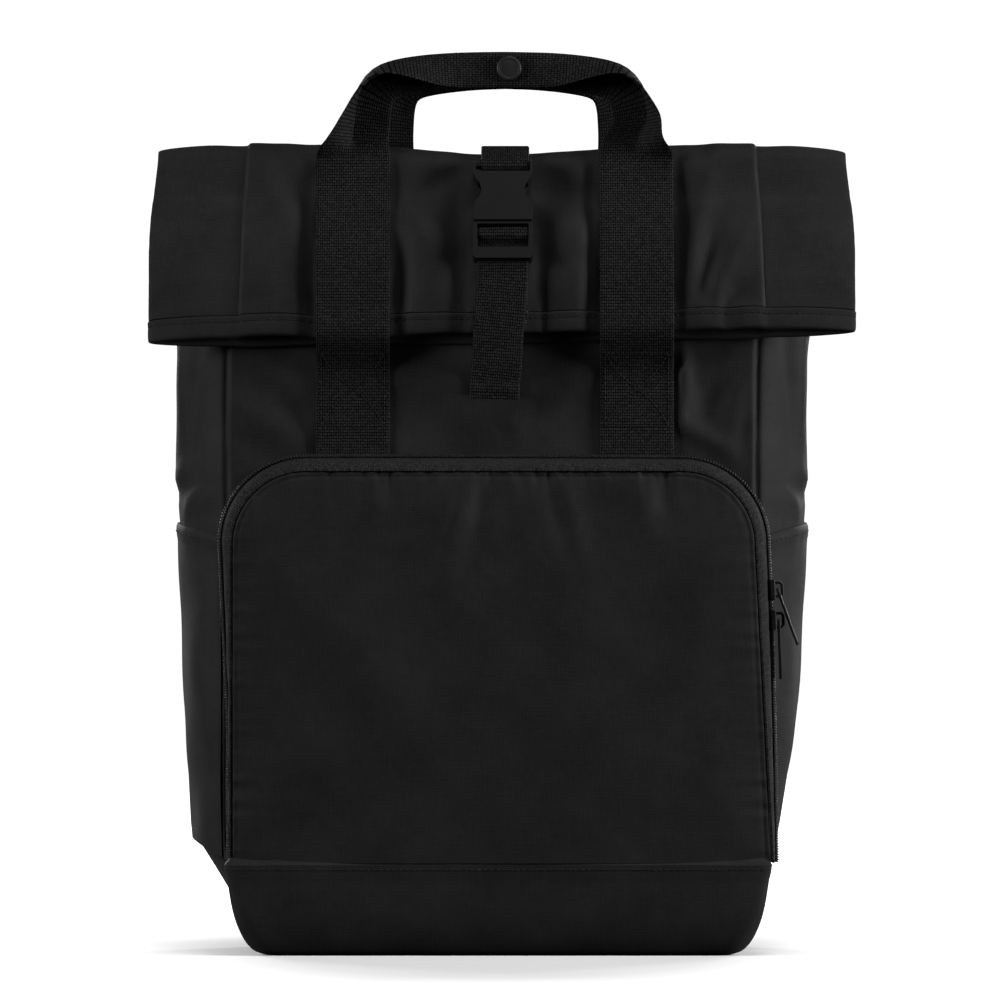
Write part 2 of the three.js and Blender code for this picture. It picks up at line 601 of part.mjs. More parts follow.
addPiece("zip_coil", coilTube(), webbing());

// From the coil back to the front panel.
const gussetRing = (k, lift) => (share) => {
  const spread = lerp(tapeSpread(share), 1.5, k ** 1.5);
  const y = lerp(coilY(share) + COIL_RADIUS + GAP, POCKET_BACK_Y, k);
  const p = aroundPocket(share, spread + lift, y);
  const t = clamp((p.x - ROWS[0].lean) / (PANEL_WIDTH / 2), -1, 1);
  if (k === 1) {
    const front = tubePoint("front", clamp(t, -0.99, 0.99), runAtHeight(Math.max(p.z, ROWS[0].z)));
    p.y = Math.min(front.y, POCKET_BACK_Y + 8) - GAP;
  }
  return p;
};
addPiece(
  "pocket_gusset",
  wall((s, k) => gussetRing(k, 0)(s), (s, k) => gussetRing(k, -CLOTH)(s), RING_SHARES, [0, 0.5, 1]),
  cloth(),
);

// The pocket's lower panel goes round its foot and back under it to the bag's base. level: height, of
// BASE_BAND. half: half its width, of POCKET_WIDTH. front: how far it still stands before the bag, of
// POCKET_DEPTH.
const FOOT_SECTIONS = [
  { level: 1, half: 0.513, front: 1 },
  { level: 0.5, half: 0.499, front: 1.03 },
  { level: 0.22, half: 0.482, front: 1 },
  { level: 0.06, half: 0.461, front: 0.93 },
  { level: 0, half: 0.435, front: 0.84 },
];
const FOOT_MIDDLE = -0.9;
const FOOT_FLOOR = FOOT_SECTIONS.length - 1;
const TRAY_FRONT = ROWS[0].y - ROWS[0].deep - 2.2; // just before the tray

function footPoint(u, level, inset) {
  const r = FOOT_SECTIONS[Math.min(level, FOOT_FLOOR)];
  const depth = POCKET_DEPTH * r.front;
  const round = 6;
  const side = clamp(Math.abs(u) - 1, 0, 1); // 0 at the front corner, 1 where it meets the bag
  const across = clamp(u, -1, 1);
  const crown = u === across ? 2.5 * r.level * (1 - across ** 4) : 0;
  const corner = u === across && Math.abs(u) > 0.999 ? round * 0.35 : 0;
  const half = r.half * POCKET_WIDTH - inset - corner;
  const y = lerp(TRAY_FRONT - depth + inset - crown + corner * 0.4, TRAY_FRONT, side);
  const underneath = level > FOOT_FLOOR ? 1 : 0;
  const rim = level === 0 ? GAP : 0;
  return vec(
    FOOT_MIDDLE + across * half,
    lerp(y, TRAY_FRONT, underneath),
    r.level * BASE_BAND - rim + (level >= FOOT_FLOOR ? inset : 0),
  );
}
addPiece(
  "pocket_base_panel",
  wall(
    (u, level) => footPoint(u, level, 0),
    (u, level) => footPoint(u, level, CLOTH),
    [-2, -1.5, -1.12, -1, -0.96, -0.6, -0.2, 0.2, 0.6, 0.96, 1, 1.12, 1.5, 2],
    [0, 1, 2, 3, 4, 5],
  ),
  cloth(),
);

// A strap that runs up or down: stations of its middle line, each {x, y, z}. Its width lies along X.
function ribbon(stations, width, thick) {
  const outward = stations.map((p, i) => {
    const a = stations[Math.max(i - 1, 0)];
    const b = stations[Math.min(i + 1, stations.length - 1)];
    const before = new THREE.Vector2(p.y - a.y, p.z - a.z).normalize();
    const after = new THREE.Vector2(b.y - p.y, b.z - p.z).normalize();
    const along = before.clone().add(after).normalize();
    const mitre = 1 / Math.max(Math.sqrt((1 + before.dot(after)) / 2), 0.7);
    const stretch = i && i < stations.length - 1 ? mitre : 1;
    return { y: -along.y * stretch, z: along.x * stretch };
  });
  const side = (sign) => (i, v) => {
    const p = stations[i];
    const n = outward[i];
    const half = (sign * thick) / 2;
    return vec(p.x + (v * (p.width ?? width)) / 2, p.y + n.y * half, p.z + n.z * half);
  };
  return wall(side(1), side(-1), stations.map((_, i) => i), [-1, 1]);
}

// How far forward the bag's cloth reaches at a run on the hanging flap, under a strap of the given
// middle and width.
function flapFront(x, run, width) {
  const places = [-0.5, -0.25, 0, 0.25, 0.5].map((k) => onPanel("back", x + k * width, run, 0));
  return { y: Math.min(...places.map((p) => p.y)), z: places[2].z };
}
function bodyFront(x, z, width) {
  const run = runAtHeight(z);
  return Math.min(...[-0.5, 0, 0.5].map((k) => onPanel("front", x + k * width, run, 0).y));
}

// The carry handles: each is one length of webbing, flat on the bag and folded in half lengthwise along
// the grip. in: how far the inner edge stands inside the leg's own inner edge, of WEB_WIDTH. rise:
// height of the inner edge above the fold, of HANDLE_RISE. face: which way the width points, from
// sideways (0) to up (90). fold: the turn of the outer half round the inner one, in degrees. away:
// distance from the bag's crest line, of HANDLE_STANDOFF.
const HANDLE_TURN = [
  { in: -0.02, rise: 0.0, face: 2, fold: 46, away: 2.3 },
  { in: 0, rise: 0.22, face: 8, fold: 74, away: 1.75 },
  { in: 0.02, rise: 0.37, face: 22, fold: 90, away: 1.4 },
  { in: 0.06, rise: 0.45, face: 54, fold: 102, away: 1.2 },
  { in: 0.16, rise: 0.49, face: 75, fold: 116, away: 1.08 },
  { in: 0.45, rise: 0.532, face: 84, fold: 138, away: 1 },
  { in: 0.8, rise: 0.561, face: 87, fold: 164, away: 1 },
  { in: 1.1, rise: 0.573, face: 90, fold: 176, away: 1 },
];
const GRIP_RISE = 0.578; // of the grip's lower edge in its middle, of HANDLE_RISE
const HANDLE_STANDOFF = 4.2; // of the grip's inner half from the crest line
const FOLD_RADIUS = 1.9;
const HANDLE_CREST_Y = -0.04 * BODY_DEPTH;
const FRONT_GRIP = { middle: 0.5, inner: 57 }; // inner: half the clear width under the grip
const REAR_GRIP = { middle: 3, inner: 47.5 };

// The section of a handle at one station: a point s millimetres from the inner edge, shifted off the
// middle by lift.
function handleSection(st, s, lift) {
  const turn = THREE.MathUtils.degToRad(st.fold);
  const face = THREE.MathUtils.degToRad(st.face);
  const width = vec(st.hand * Math.cos(face), 0, Math.sin(face));
  const front = vec(0, st.front, 0);
  const start = WEB_WIDTH / 2 - (FOLD_RADIUS * turn) / 2;
  const bend = clamp((s - start) / FOLD_RADIUS, 0, turn);
  const straight = Math.min(s, start);
  const beyond = Math.max(s - start - FOLD_RADIUS * turn, 0);
  const p = vec(st.x, st.y, st.z).addScaledVector(width, straight + FOLD_RADIUS * Math.sin(bend));
  p.addScaledVector(front, FOLD_RADIUS * (1 - Math.cos(bend)));
  p.addScaledVector(width, beyond * Math.cos(turn)).addScaledVector(front, beyond * Math.sin(turn));
  return p.addScaledVector(width, lift * Math.sin(bend)).addScaledVector(front, -lift * Math.cos(bend));
}

// left and right: middles of its legs. front: -1 for the handle on the bag's front, 1 for the one on
// its back. layLeft and layRight: stations of a leg from its sewn end up to the crest, each {y, z}.
function handle(left, right, grip, front, layLeft, layRight) {
  const inner = (x, hand) => x - (hand * WEB_WIDTH) / 2;
  const leg = (x, hand, lay) =>
    lay.map((p) => ({ x: inner(x, hand), y: p.y, z: p.z, face: 0, fold: 0, hand, front }));
  const turn = (x, hand) =>
    HANDLE_TURN.map((r) => ({
      x: (r.rise ? grip.middle + hand * grip.inner : inner(x, hand)) - hand * r.in * WEB_WIDTH,
      y: HANDLE_CREST_Y + front * HANDLE_STANDOFF * r.away,
      z: BAG_HEIGHT + r.rise * HANDLE_RISE,
      face: r.face,
      fold: r.fold,
      hand,
      front,
    }));
  const y = HANDLE_CREST_Y + front * HANDLE_STANDOFF;
  const middle = { x: grip.middle, y, fold: 178, face: 90, hand: -1, front };
  middle.z = BAG_HEIGHT + GRIP_RISE * HANDLE_RISE;
  const stations = [
    ...leg(left, -1, layLeft),
    ...turn(left, -1),
    middle,
    ...turn(right, 1).reverse(),
    ...leg(right, 1, layRight).reverse(),
  ];
  const places = [0, 0.24, 0.43, 0.5, 0.57, 0.76, 1].map((k) => k * WEB_WIDTH);
  const side = (lift) => (i, s) => handleSection(stations[i], s, lift);
  return wall(side(WEB_THICK / 2), side(-WEB_THICK / 2), stations.map((_, i) => i), places);
}

const MOUTH_Z = BAG_HEIGHT - FLAP_DROP;
const LEG_FOOT = POCKET_TOP + LEG_CLEAR;

function frontLeg(x) {
  const off = WEB_THICK / 2 + GAP;
  const sewn = steps(LEG_FOOT, MOUTH_Z - SEWN_CLEAR, 3);
  const lay = sewn.map((z) => ({ y: bodyFront(x, z, WEB_WIDTH) - off, z }));
  const flap = steps(MOUTH_RUN + 1, RUN[FOLD_ROW + 2], 6).map((run) => {
    const p = flapFront(x, Math.min(run, MOUTH_RUN), WEB_WIDTH);
    return { y: p.y - off - (run > HEM_RUN ? HEM_EXTRA + 0.3 : 0.3), z: p.z };
  });
  return [...lay, ...flap];
}
const frontHandle = handle(LEFT_LEG, RIGHT_LEG, FRONT_GRIP, -1, frontLeg(LEFT_LEG), frontLeg(RIGHT_LEG));
addPiece("front_handle", frontHandle, webbing());

// The rear handle's legs are sewn to the back panel.
const REAR_LEG_PLACES = [1, 0.8, 0.605, 0.41, 0.26, 0.16]; // of REAR_LEG_LENGTH below the fold
function rearLeg(x) {
  const off = WEB_THICK / 2 + GAP + 0.2;
  return REAR_LEG_PLACES.map((k) => {
    const run = runAtHeight(BAG_HEIGHT - k * REAR_LEG_LENGTH);
    const places = [-0.5, 0, 0.5].map((k) => onPanel("back", x + k * WEB_WIDTH, run, off));
    return { y: Math.max(...places.map((p) => p.y)), z: places[1].z };
  });
}
const rearLegs = [REAR_LEFT_LEG, REAR_RIGHT_LEG].map(rearLeg);
addPiece("rear_handle", handle(REAR_LEFT_LEG, REAR_RIGHT_LEG, REAR_GRIP, 1, ...rearLegs), webbing());

// The press stud that joins the two grips: a cap on the front, and one plain post between the grips.
const STUD_Z = BAG_HEIGHT + GRIP_RISE * HANDLE_RISE + WEB_WIDTH * 0.265;
const GRIP_FRONT_Y = HANDLE_CREST_Y - HANDLE_STANDOFF - 2 * FOLD_RADIUS - WEB_THICK / 2;

function disc(radius, from, to, dome, sides = 20) {
  const profile = [
    new THREE.Vector2(0, from),
    new THREE.Vector2(radius, from),
    new THREE.Vector2(radius, lerp(from, to, 0.5)),
    new THREE.Vector2(radius - dome, to),
    new THREE.Vector2(0, to),
  ];
  const lathe = new THREE.LatheGeometry(profile, sides);
  return lathe.rotateX(Math.PI / 2); // the lathe's up is now towards +Z, turned to -Y by placeAt
}

function solidFrom(geometry) {
  const position = geometry.getAttribute("position");
  const point = (_, i) => new THREE.Vector3().fromBufferAttribute(position, i);
  const points = Array.from({ length: position.count }, point);
  const list = geometry.index ? Array.from(geometry.index.array) : points.map((_, i) => i);
  const triangles = [];
  for (let i = 0; i < list.length; i += 3) triangles.push([list[i], list[i + 1], list[i + 2]]);
  return closedGeometry(points, triangles);
}

const studCap = disc(STUD_RADIUS, 0, 2.1, 1.2);
studCap.rotateX(Math.PI / 2).translate(STUD_X, GRIP_FRONT_Y - GAP - 0.6, STUD_Z);
addPiece("stud_cap", solidFrom(studCap), painted());
const postHalf = HANDLE_STANDOFF - WEB_THICK / 2 - GAP;
const studPost = disc(STUD_RADIUS * 0.8, -postHalf, postHalf, 0.4, 16);
studPost.rotateX(Math.PI / 2).translate(STUD_X, HANDLE_CREST_Y, STUD_Z);
addPiece("stud_post", solidFrom(studPost), painted());

// The buckle lies on the flap. Its own axes: x to the right, y up along the flap, z out of the bag.
const BUCKLE_TOP_Z = BAG_HEIGHT - BUCKLE_DROP;
const BUCKLE_FOOT_Z = BUCKLE_TOP_Z - BUCKLE_SEAT;
function bucklePlace() {
  const foot = onPanel("back", CLOSURE_X, runAtHeight(BUCKLE_FOOT_Z, true), 0);
  const top = onPanel("back", CLOSURE_X, runAtHeight(BUCKLE_TOP_Z + 2, true), 0);
  const up = vec(0, top.y - foot.y, top.z - foot.z).normalize();
  const out = vec(1, 0, 0).cross(up);
  let reach = 0;
  for (const x of [-BUCKLE_WIDTH / 2, 0, BUCKLE_WIDTH / 2])
    for (const z of steps(BUCKLE_FOOT_Z - 3, BUCKLE_TOP_Z, 14))
      reach = Math.max(reach, onPanel("back", CLOSURE_X + x, runAtHeight(z, true), 0).sub(foot).dot(out));
  const middle = foot.clone().add(top).multiplyScalar(0.5);
  middle.addScaledVector(out, reach + BUCKLE_THICK / 2 + 0.6);
  return { up, out, middle };
}
const BUCKLE = bucklePlace();
const BUCKLE_MATRIX = new THREE.Matrix4().makeBasis(vec(1, 0, 0), BUCKLE.up, BUCKLE.out);
BUCKLE_MATRIX.setPosition(BUCKLE.middle);
const inBuckle = (y, z) => vec(0, y, z).applyMatrix4(BUCKLE_MATRIX);

const { Manifold, CrossSection } = wasm;
const plate = (rows, thick, z = 0) => {
  const shape = new CrossSection([rows], "NonZero");
  return shape.extrude(thick).translate([0, 0, z - thick / 2]);
};
const block = (x, y, z, wide, high, thick) => Manifold.cube([wide, high, thick], true).translate([x, y, z]);
// A symmetric outline from its right half, listed upwards as {half, y}.
const mirrored = (rows) => {
  const right = rows.map((r) => [r.half, r.y]);
  return [...right, ...right.map(([x, y]) => [-x, y]).reverse()];
};

function fromManifold(solid, matrix) {
  const mesh = solid.getMesh();
  const points = [];
  for (let i = 0; i < mesh.vertProperties.length; i += mesh.numProp)
    points.push(vec(...mesh.vertProperties.slice(i, i + 3)).applyMatrix4(matrix));
  const triangles = [];
  const corners = mesh.triVerts;
  for (let i = 0; i < corners.length; i += 3) triangles.push(Array.from(corners.slice(i, i + 3)));
  return closedGeometry(points, triangles);
}

// half: half its width, of BUCKLE_WIDTH. y: along it, of BUCKLE_LENGTH, 0 in its middle.
const SOCKET_OUTLINE = [
  { half: 0.46, y: -0.105 },
  { half: 0.475, y: -0.085 },
  { half: 0.475, y: 0.02 },
  { half: 0.45, y: 0.075 },
  { half: 0.37, y: 0.125 },
  { half: 0.345, y: 0.18 },
  { half: 0.37, y: 0.24 },
  { half: 0.45, y: 0.31 },
  { half: 0.48, y: 0.35 },
  { half: 0.48, y: 0.44 },
  { half: 0.455, y: 0.465 },
];
const scaled = (rows) => rows.map((r) => ({ half: r.half * BUCKLE_WIDTH, y: r.y * BUCKLE_LENGTH }));
const BUCKLE_WALL = 1.5;
const SLOT_HALF = CLOSURE_WIDTH / 2 + 0.45;
const TOP_STRAP_WIDTH = CLOSURE_WIDTH - 0.6;
const TOP_STRAP_SHIFT = 1.2; // the upper strap sits a little to the right in its slot
const TOP_SLOT_HALF = TOP_STRAP_WIDTH / 2 + TOP_STRAP_SHIFT + 0.3;
const SOCKET_TOP = 0.465 * BUCKLE_LENGTH;
const TOP_BAR = 3.3;
const TOP_SLOT = 3.1;

function buckleSocket() {
  const body = plate(mirrored(scaled(SOCKET_OUTLINE)), BUCKLE_THICK);
  const room = BUCKLE_THICK - 2 * BUCKLE_WALL;
  const cavity = block(0, 0.085 * BUCKLE_LENGTH, 0, 0.8 * BUCKLE_WIDTH, 0.44 * BUCKLE_LENGTH, room);
  const barY = SOCKET_TOP - TOP_BAR / 2;
  const slot = block(0, SOCKET_TOP - TOP_BAR - TOP_SLOT / 2, 0, 2 * TOP_SLOT_HALF, TOP_SLOT, 20);
  const round = block(0, barY, 0, 2 * TOP_SLOT_HALF, TOP_BAR + 0.1, 20);
  const rod = Manifold.cylinder(2 * TOP_SLOT_HALF + 1, TOP_BAR / 2, TOP_BAR / 2, 12, true);
  const bar = rod.rotate([0, 90, 0]);
  return body.subtract(cavity).subtract(slot).subtract(round).add(bar.translate([0, barY, 0]));
}
addPiece("buckle_socket", fromManifold(buckleSocket(), BUCKLE_MATRIX), plastic());

// A frame with two slots and three bars that a strap is threaded through. top and foot: its ends along y.
function ladderFrame(top, foot, wide, slotHalf, thick, middleBar) {
  const rows = [
    { half: wide / 2 - 1.4, y: foot },
    { half: wide / 2 - 0.3, y: foot + 1.2 },
    { half: wide / 2, y: foot + 3 },
    { half: wide / 2, y: top },
  ];
  const frame = plate(mirrored(rows), thick);
  const upper = block(0, (middleBar.top + top - 1.5) / 2, 0, 2 * slotHalf, top - 1.5 - middleBar.top, 20);
  const barTop = foot + 6.4;
  const lower = block(0, (middleBar.foot + barTop) / 2, 0, 2 * slotHalf, middleBar.foot - barTop, 20);
  const overBar = (middleBar.top + middleBar.foot) / 2;
  const high = middleBar.top - middleBar.foot + 0.02;
  const trims = [1, -1].map((side) => block(0, overBar, side * (1.2 + 5), 2 * slotHalf, high, 10));
  const under = block(0, foot + 3.2, -0.4 - 5, 2 * slotHalf, 6.42, 10); // way for the strap behind that bar
  return frame.subtract(upper).subtract(lower).subtract(trims[0]).subtract(trims[1]).subtract(under);
}
const FRAME_TOP = -0.11 * BUCKLE_LENGTH;
const FRAME_FOOT = -0.46 * BUCKLE_LENGTH;
const FRAME_THICK = 6.4;
const MIDDLE_BAR = { top: FRAME_TOP - 4.6, foot: FRAME_TOP - 7.8 };

function buckleProngs() {
  const frame = ladderFrame(FRAME_TOP, FRAME_FOOT, 0.97 * BUCKLE_WIDTH, SLOT_HALF, FRAME_THICK, MIDDLE_BAR);
  const room = BUCKLE_THICK - 2 * BUCKLE_WALL - 2 * GAP;
  const tongue = block(0, FRAME_TOP + 9, 0, 4, 18.2, room);
  // One springy arm's outline. out: from the middle. along: up from the frame.
  const armRows = [
    { out: 6.6, along: -0.1 },
    { out: 9.6, along: -0.1 },
    { out: 10.4, along: 9 },
    { out: 11.8, along: 12 },
    { out: 11.4, along: 19 },
    { out: 9.2, along: 22.5 },
    { out: 7.6, along: 22.5 },
    { out: 8.2, along: 9 },
  ];
  const right = plate(armRows.map((r) => [r.out, FRAME_TOP + r.along]), room);
  return frame.add(tongue).add(right).add(right.mirror([1, 0, 0]));
}
addPiece("buckle_prongs", fromManifold(buckleProngs(), BUCKLE_MATRIX), plastic());

// The strap that is sewn to the back, goes over the fold and holds the socket in a loop round its upper
// bar.
const onTop = (run, above, x = CLOSURE_X + TOP_STRAP_SHIFT) => ({ ...flapLay(x, run, above), x });
function flapLay(x, run, above) {
  const places = [-0.5, 0, 0.5].map((k) => onPanel("back", x + k * CLOSURE_WIDTH, run, above));
  const y = run < FOLD_RUN ? Math.max(...places.map((p) => p.y)) : Math.min(...places.map((p) => p.y));
  return { y, z: Math.max(...places.map((p) => p.z)) };
}
const LAYER = CLOSURE_THICK + 0.4;
const LOOP_RADIUS = TOP_BAR / 2 + GAP + CLOSURE_THICK / 2 + 0.25;
function loopPoint(turn) {
  const angle = THREE.MathUtils.degToRad(turn);
  const up = SOCKET_TOP - TOP_BAR / 2 + LOOP_RADIUS * Math.sin(angle);
  const p = inBuckle(up, -LOOP_RADIUS * Math.cos(angle));
  return { x: CLOSURE_X + TOP_STRAP_SHIFT, y: p.y, z: p.z };
}
const lift = CLOSURE_THICK / 2 + GAP + 0.25;
const upperStrap = [
  onTop(lerp(FOLD_RUN, RUN[FOLD_ROW + 1], 0.2), lift + 0.6),
  onTop(lerp(FOLD_RUN, RUN[FOLD_ROW + 2], 0.72), lift + 0.5),
  ...[0, -45, -90, -135, -180, -222].map(loopPoint),
  onTop(lerp(FOLD_RUN, RUN[FOLD_ROW + 2], 0.9), lift + LAYER + 0.5),
  onTop(lerp(FOLD_RUN, RUN[FOLD_ROW + 1], 0.7), lift + LAYER),
  onTop(lerp(FOLD_RUN, RUN[FOLD_ROW + 1], 0.1), lift + LAYER),
  onTop(lerp(FOLD_RUN, RUN[FOLD_ROW - 1], 0.5), lift + LAYER * 0.6),
  onTop(lerp(FOLD_RUN, RUN[FOLD_ROW - 1], 1), lift + 0.3),
  onTop(RUN[FOLD_ROW - 2], lift + 0.3),
  ...[0.467, 0.733, 1].map((k) => onTop(runAtHeight(BAG_HEIGHT - k * BACK_TACK), lift)),
];
addPiece("closure_strap_upper", ribbon(upperStrap, TOP_STRAP_WIDTH, CLOSURE_THICK), webbing());

// The strap that is sewn to the front panel, goes up behind the buckle, round its middle bar and down
// as a free end.
const frontAt = (z, extra) => {
  const y = bodyFront(CLOSURE_X, z, CLOSURE_WIDTH) - lift - extra;
  return { x: CLOSURE_X, y, z };
};
const flapAt = (z, above) => onTop(runAtHeight(z, true), above, CLOSURE_X);
const CLOSURE_FOOT = 29.5; // the strap is sewn on this far below the mouth
const FLAP_LAY = [
  { rise: 10, hem: HEM_EXTRA },
  { rise: 20, hem: 0 },
  { rise: 29, hem: 0 },
]; // places on the flap above the mouth, and what the hem adds there
const inFrame = (y, z) => ({ ...inBuckle(y, z), x: CLOSURE_X });
const barMiddle = (MIDDLE_BAR.top + MIDDLE_BAR.foot) / 2;
const hemFront = flapAt(MOUTH_Z + 2, lift + HEM_EXTRA);
const lowerStrap = [
  frontAt(Math.max(MOUTH_Z - CLOSURE_FOOT, POCKET_TOP + 3), 0),
  frontAt(MOUTH_Z - 20, 0),
  { x: CLOSURE_X, y: lerp(frontAt(MOUTH_Z - 12, 0).y, hemFront.y, 0.5), z: MOUTH_Z - 12 },
  { ...hemFront, z: MOUTH_Z - 4 },
  hemFront,
  ...FLAP_LAY.map((p) => flapAt(MOUTH_Z + p.rise, lift + p.hem)),
  inFrame(FRAME_FOOT + 1, -3.4),
  inFrame(MIDDLE_BAR.foot, -3.4),
  inFrame(MIDDLE_BAR.top, -2.9),
  inFrame(MIDDLE_BAR.top + 1.4, -1.2),
  inFrame(MIDDLE_BAR.top + 1.4, 0.9),
  inFrame(MIDDLE_BAR.top + 0.2, 2.2),
  inFrame(barMiddle, 2.45),
  inFrame(MIDDLE_BAR.foot - 0.2, 2.2),
  inFrame(MIDDLE_BAR.foot - 1.5, 0.9),
  inFrame(MIDDLE_BAR.foot - 2.4, -0.6),
  inFrame(MIDDLE_BAR.foot - 4.6, -1.42),
  inFrame(FRAME_FOOT + 1, -1.42),
  ...[...FLAP_LAY].reverse().map((p, i) => ({
    ...flapAt(MOUTH_Z + p.rise, lift + LAYER + 0.3 + p.hem),
    x: CLOSURE_X - 0.6 * i,
  })),
  { ...hemFront, y: hemFront.y - LAYER - 0.3, x: CLOSURE_X - 2 },
  { x: CLOSURE_X - 3.2, y: hemFront.y - LAYER - 0.6, z: MOUTH_Z - 15 },
  { x: CLOSURE_X - 4.3, y: hemFront.y - LAYER - 0.3, z: MOUTH_Z - TAIL_DROP },
];
addPiece("closure_strap_lower", ribbon(lowerStrap, CLOSURE_WIDTH, CLOSURE_THICK), webbing());

// The shoulder straps: a pad sewn to the back, a ladder frame hung from its lower end, and webbing from
// the frame down to the base. drop: below the pad's top, of PAD_LENGTH. side: middle's place across, of
// PAD_REACH. away: clear of the back panel's plane, of PAD_REACH. wide: of PAD_WIDTH. thick: of
// PAD_THICK.
const PAD_TOP = BAG_HEIGHT - PAD_DROP;
const PAD_SECTIONS = [
  { drop: 0, side: 0.46, away: -0.006, wide: 0.86, thick: 0.4 },
  { drop: 0.06, side: 0.47, away: 0.045, wide: 0.92, thick: 0.85 },
  { drop: 0.2, side: 0.53, away: 0.19, wide: 1, thick: 1 },
  { drop: 0.38, side: 0.63, away: 0.27, wide: 1, thick: 1 },
  { drop: 0.56, side: 0.74, away: 0.27, wide: 0.97, thick: 1 },
  { drop: 0.74, side: 0.86, away: 0.22, wide: 0.88, thick: 1 },
  { drop: 0.9, side: 0.96, away: 0.16, wide: 0.72, thick: 1 },
  { drop: 0.97, side: 0.99, away: 0.14, wide: 0.56, thick: 0.85 },
  { drop: 1, side: 1, away: 0.13, wide: 0.44, thick: 0.5 },
];
const BACK_PLANE = ROWS[3].y + ROWS[3].deep + ROWS[3].crown;

function padBase(z) {
  const run = runAtHeight(z);
  return Math.max(...[0.2, 0.45, 0.7].map((t) => tubePoint("back", t, run).y));
}
function anchorY(x, z) {
  const run = runAtHeight(z);
  return Math.max(...[-0.5, 0, 0.5].map((k) => onPanel("back", x + k * PAD_WEB_WIDTH, run, 0).y)) + lift;
}

function shoulderPad(hand) {
  const sides = 10;
  const columns = {};
  for (const key of ["side", "away", "wide", "thick"])
    columns[key] = through(PAD_SECTIONS.map((r) => r.drop), PAD_SECTIONS.map((r) => r[key]));
  const drops = [0, 0.03, 0.08, 0.2, 0.34, 0.48, 0.62, 0.76, 0.88, 0.95, 1];
  const points = [];
  const triangles = [];
  for (const d of drops) {
    const z = PAD_TOP - d * PAD_LENGTH;
    const near = padBase(z) + GAP + columns.away(d) * PAD_REACH;
    const thick = columns.thick(d) * PAD_THICK;
    for (let k = 0; k < sides; k++) {
      const angle = ((k + 0.5) / sides) * 2 * Math.PI;
      const across = Math.sign(Math.cos(angle)) * Math.abs(Math.cos(angle)) ** 0.5;
      const out = Math.sign(Math.sin(angle)) * Math.abs(Math.sin(angle)) ** 0.6;
      const x = hand * columns.side(d) * PAD_REACH + (across * columns.wide(d) * PAD_WIDTH) / 2;
      points.push(vec(x, near + thick / 2 + (out * thick) / 2, z));
    }
  }
  const at = (i, k) => i * sides + (k % sides);
  const last = drops.length - 1;
  for (let i = 0; i < last; i++)
    for (let k = 0; k < sides; k++)
      triangles.push([at(i, k), at(i, k + 1), at(i + 1, k + 1)], [at(i, k), at(i + 1, k + 1), at(i + 1, k)]);
  for (let k = 1; k < sides - 1; k++)
    triangles.push([at(0, 0), at(0, k + 1), at(0, k)], [at(last, 0), at(last, k), at(last, k + 1)]);
  return closedGeometry(points, triangles);
}

// The frame's own axes are like the buckle's: y up along the strap, z away from the bag's back.
const PAD_FOOT = PAD_TOP - PAD_LENGTH;
const PAD_FOOT_Y = padBase(PAD_FOOT) + GAP + 0.13 * PAD_REACH + PAD_THICK / 4;
const ADJUST_LENGTH = 24;
const ADJUST_TILT = 0.2; // its foot leans towards the bag by this share of its length
const ADJUST_BAR = { top: ADJUST_LENGTH / 2 - 8.2, foot: ADJUST_LENGTH / 2 - 11.4 };

function adjusterMatrix(hand) {
  const up = vec(0, ADJUST_TILT, 1).normalize();
  const out = vec(0, 1, -ADJUST_TILT).normalize();
  const top = vec(hand * (PAD_REACH + 1.5), PAD_FOOT_Y - 0.6, PAD_FOOT - 4.5);
  const middle = top.clone().addScaledVector(up, -ADJUST_LENGTH / 2);
  return new THREE.Matrix4().makeBasis(vec(-1, 0, 0), up, out).setPosition(middle);
}

function adjuster() {
  const half = ADJUST_LENGTH / 2;
  const wide = PAD_WEB_WIDTH + 6.4;
  const frame = ladderFrame(half, -half, wide, PAD_WEB_WIDTH / 2 + 0.5, 4.6, ADJUST_BAR);
  const slot = block(0, half - 1.9 - 1.3, 0, PAD_WEB_WIDTH + 1, 2.6, 20);
  return frame.subtract(slot);
}

function lowerWebbing(hand) {
  const matrix = adjusterMatrix(hand);
  const half = ADJUST_LENGTH / 2;
  const at = (y, z, slant = 0) => {
    const p = vec(0, y, z).applyMatrix4(matrix);
    return { x: p.x + hand * slant, y: p.y, z: p.z };
  };
  const bar = ADJUST_BAR;
  const middle = (bar.top + bar.foot) / 2;
  const anchor = (z, slant) => {
    const x = hand * (PAD_REACH + 1.5 + slant);
    return { x, y: anchorY(x, z), z };
  };
  return [
    anchor(BASE_BAND + 5, 22),
    anchor(BASE_BAND + 17, 18),
    at(-half - 4, -3.4, 4),
    at(-half + 1, -3.2, 1),
    at(bar.foot, -3.2),
    at(bar.top, -2.9),
    at(bar.top + 1.3, -1.2),
    at(bar.top + 1.3, 0.9),
    at(bar.top + 0.2, 2.2),
    at(middle, 2.45),
    at(bar.foot - 0.2, 2.2),
    at(bar.foot - 1.5, 0.9),
    at(bar.foot - 2.4, -0.6),
    at(bar.foot - 4.6, -1.42),
    at(-half + 1, -1.42),
    at(-half - 1.5, -1.3),
    at(-half - 7, 0.4),
    at(-half - 22, 3.6),
    at(-half - 40, 5.2),
  ];
}

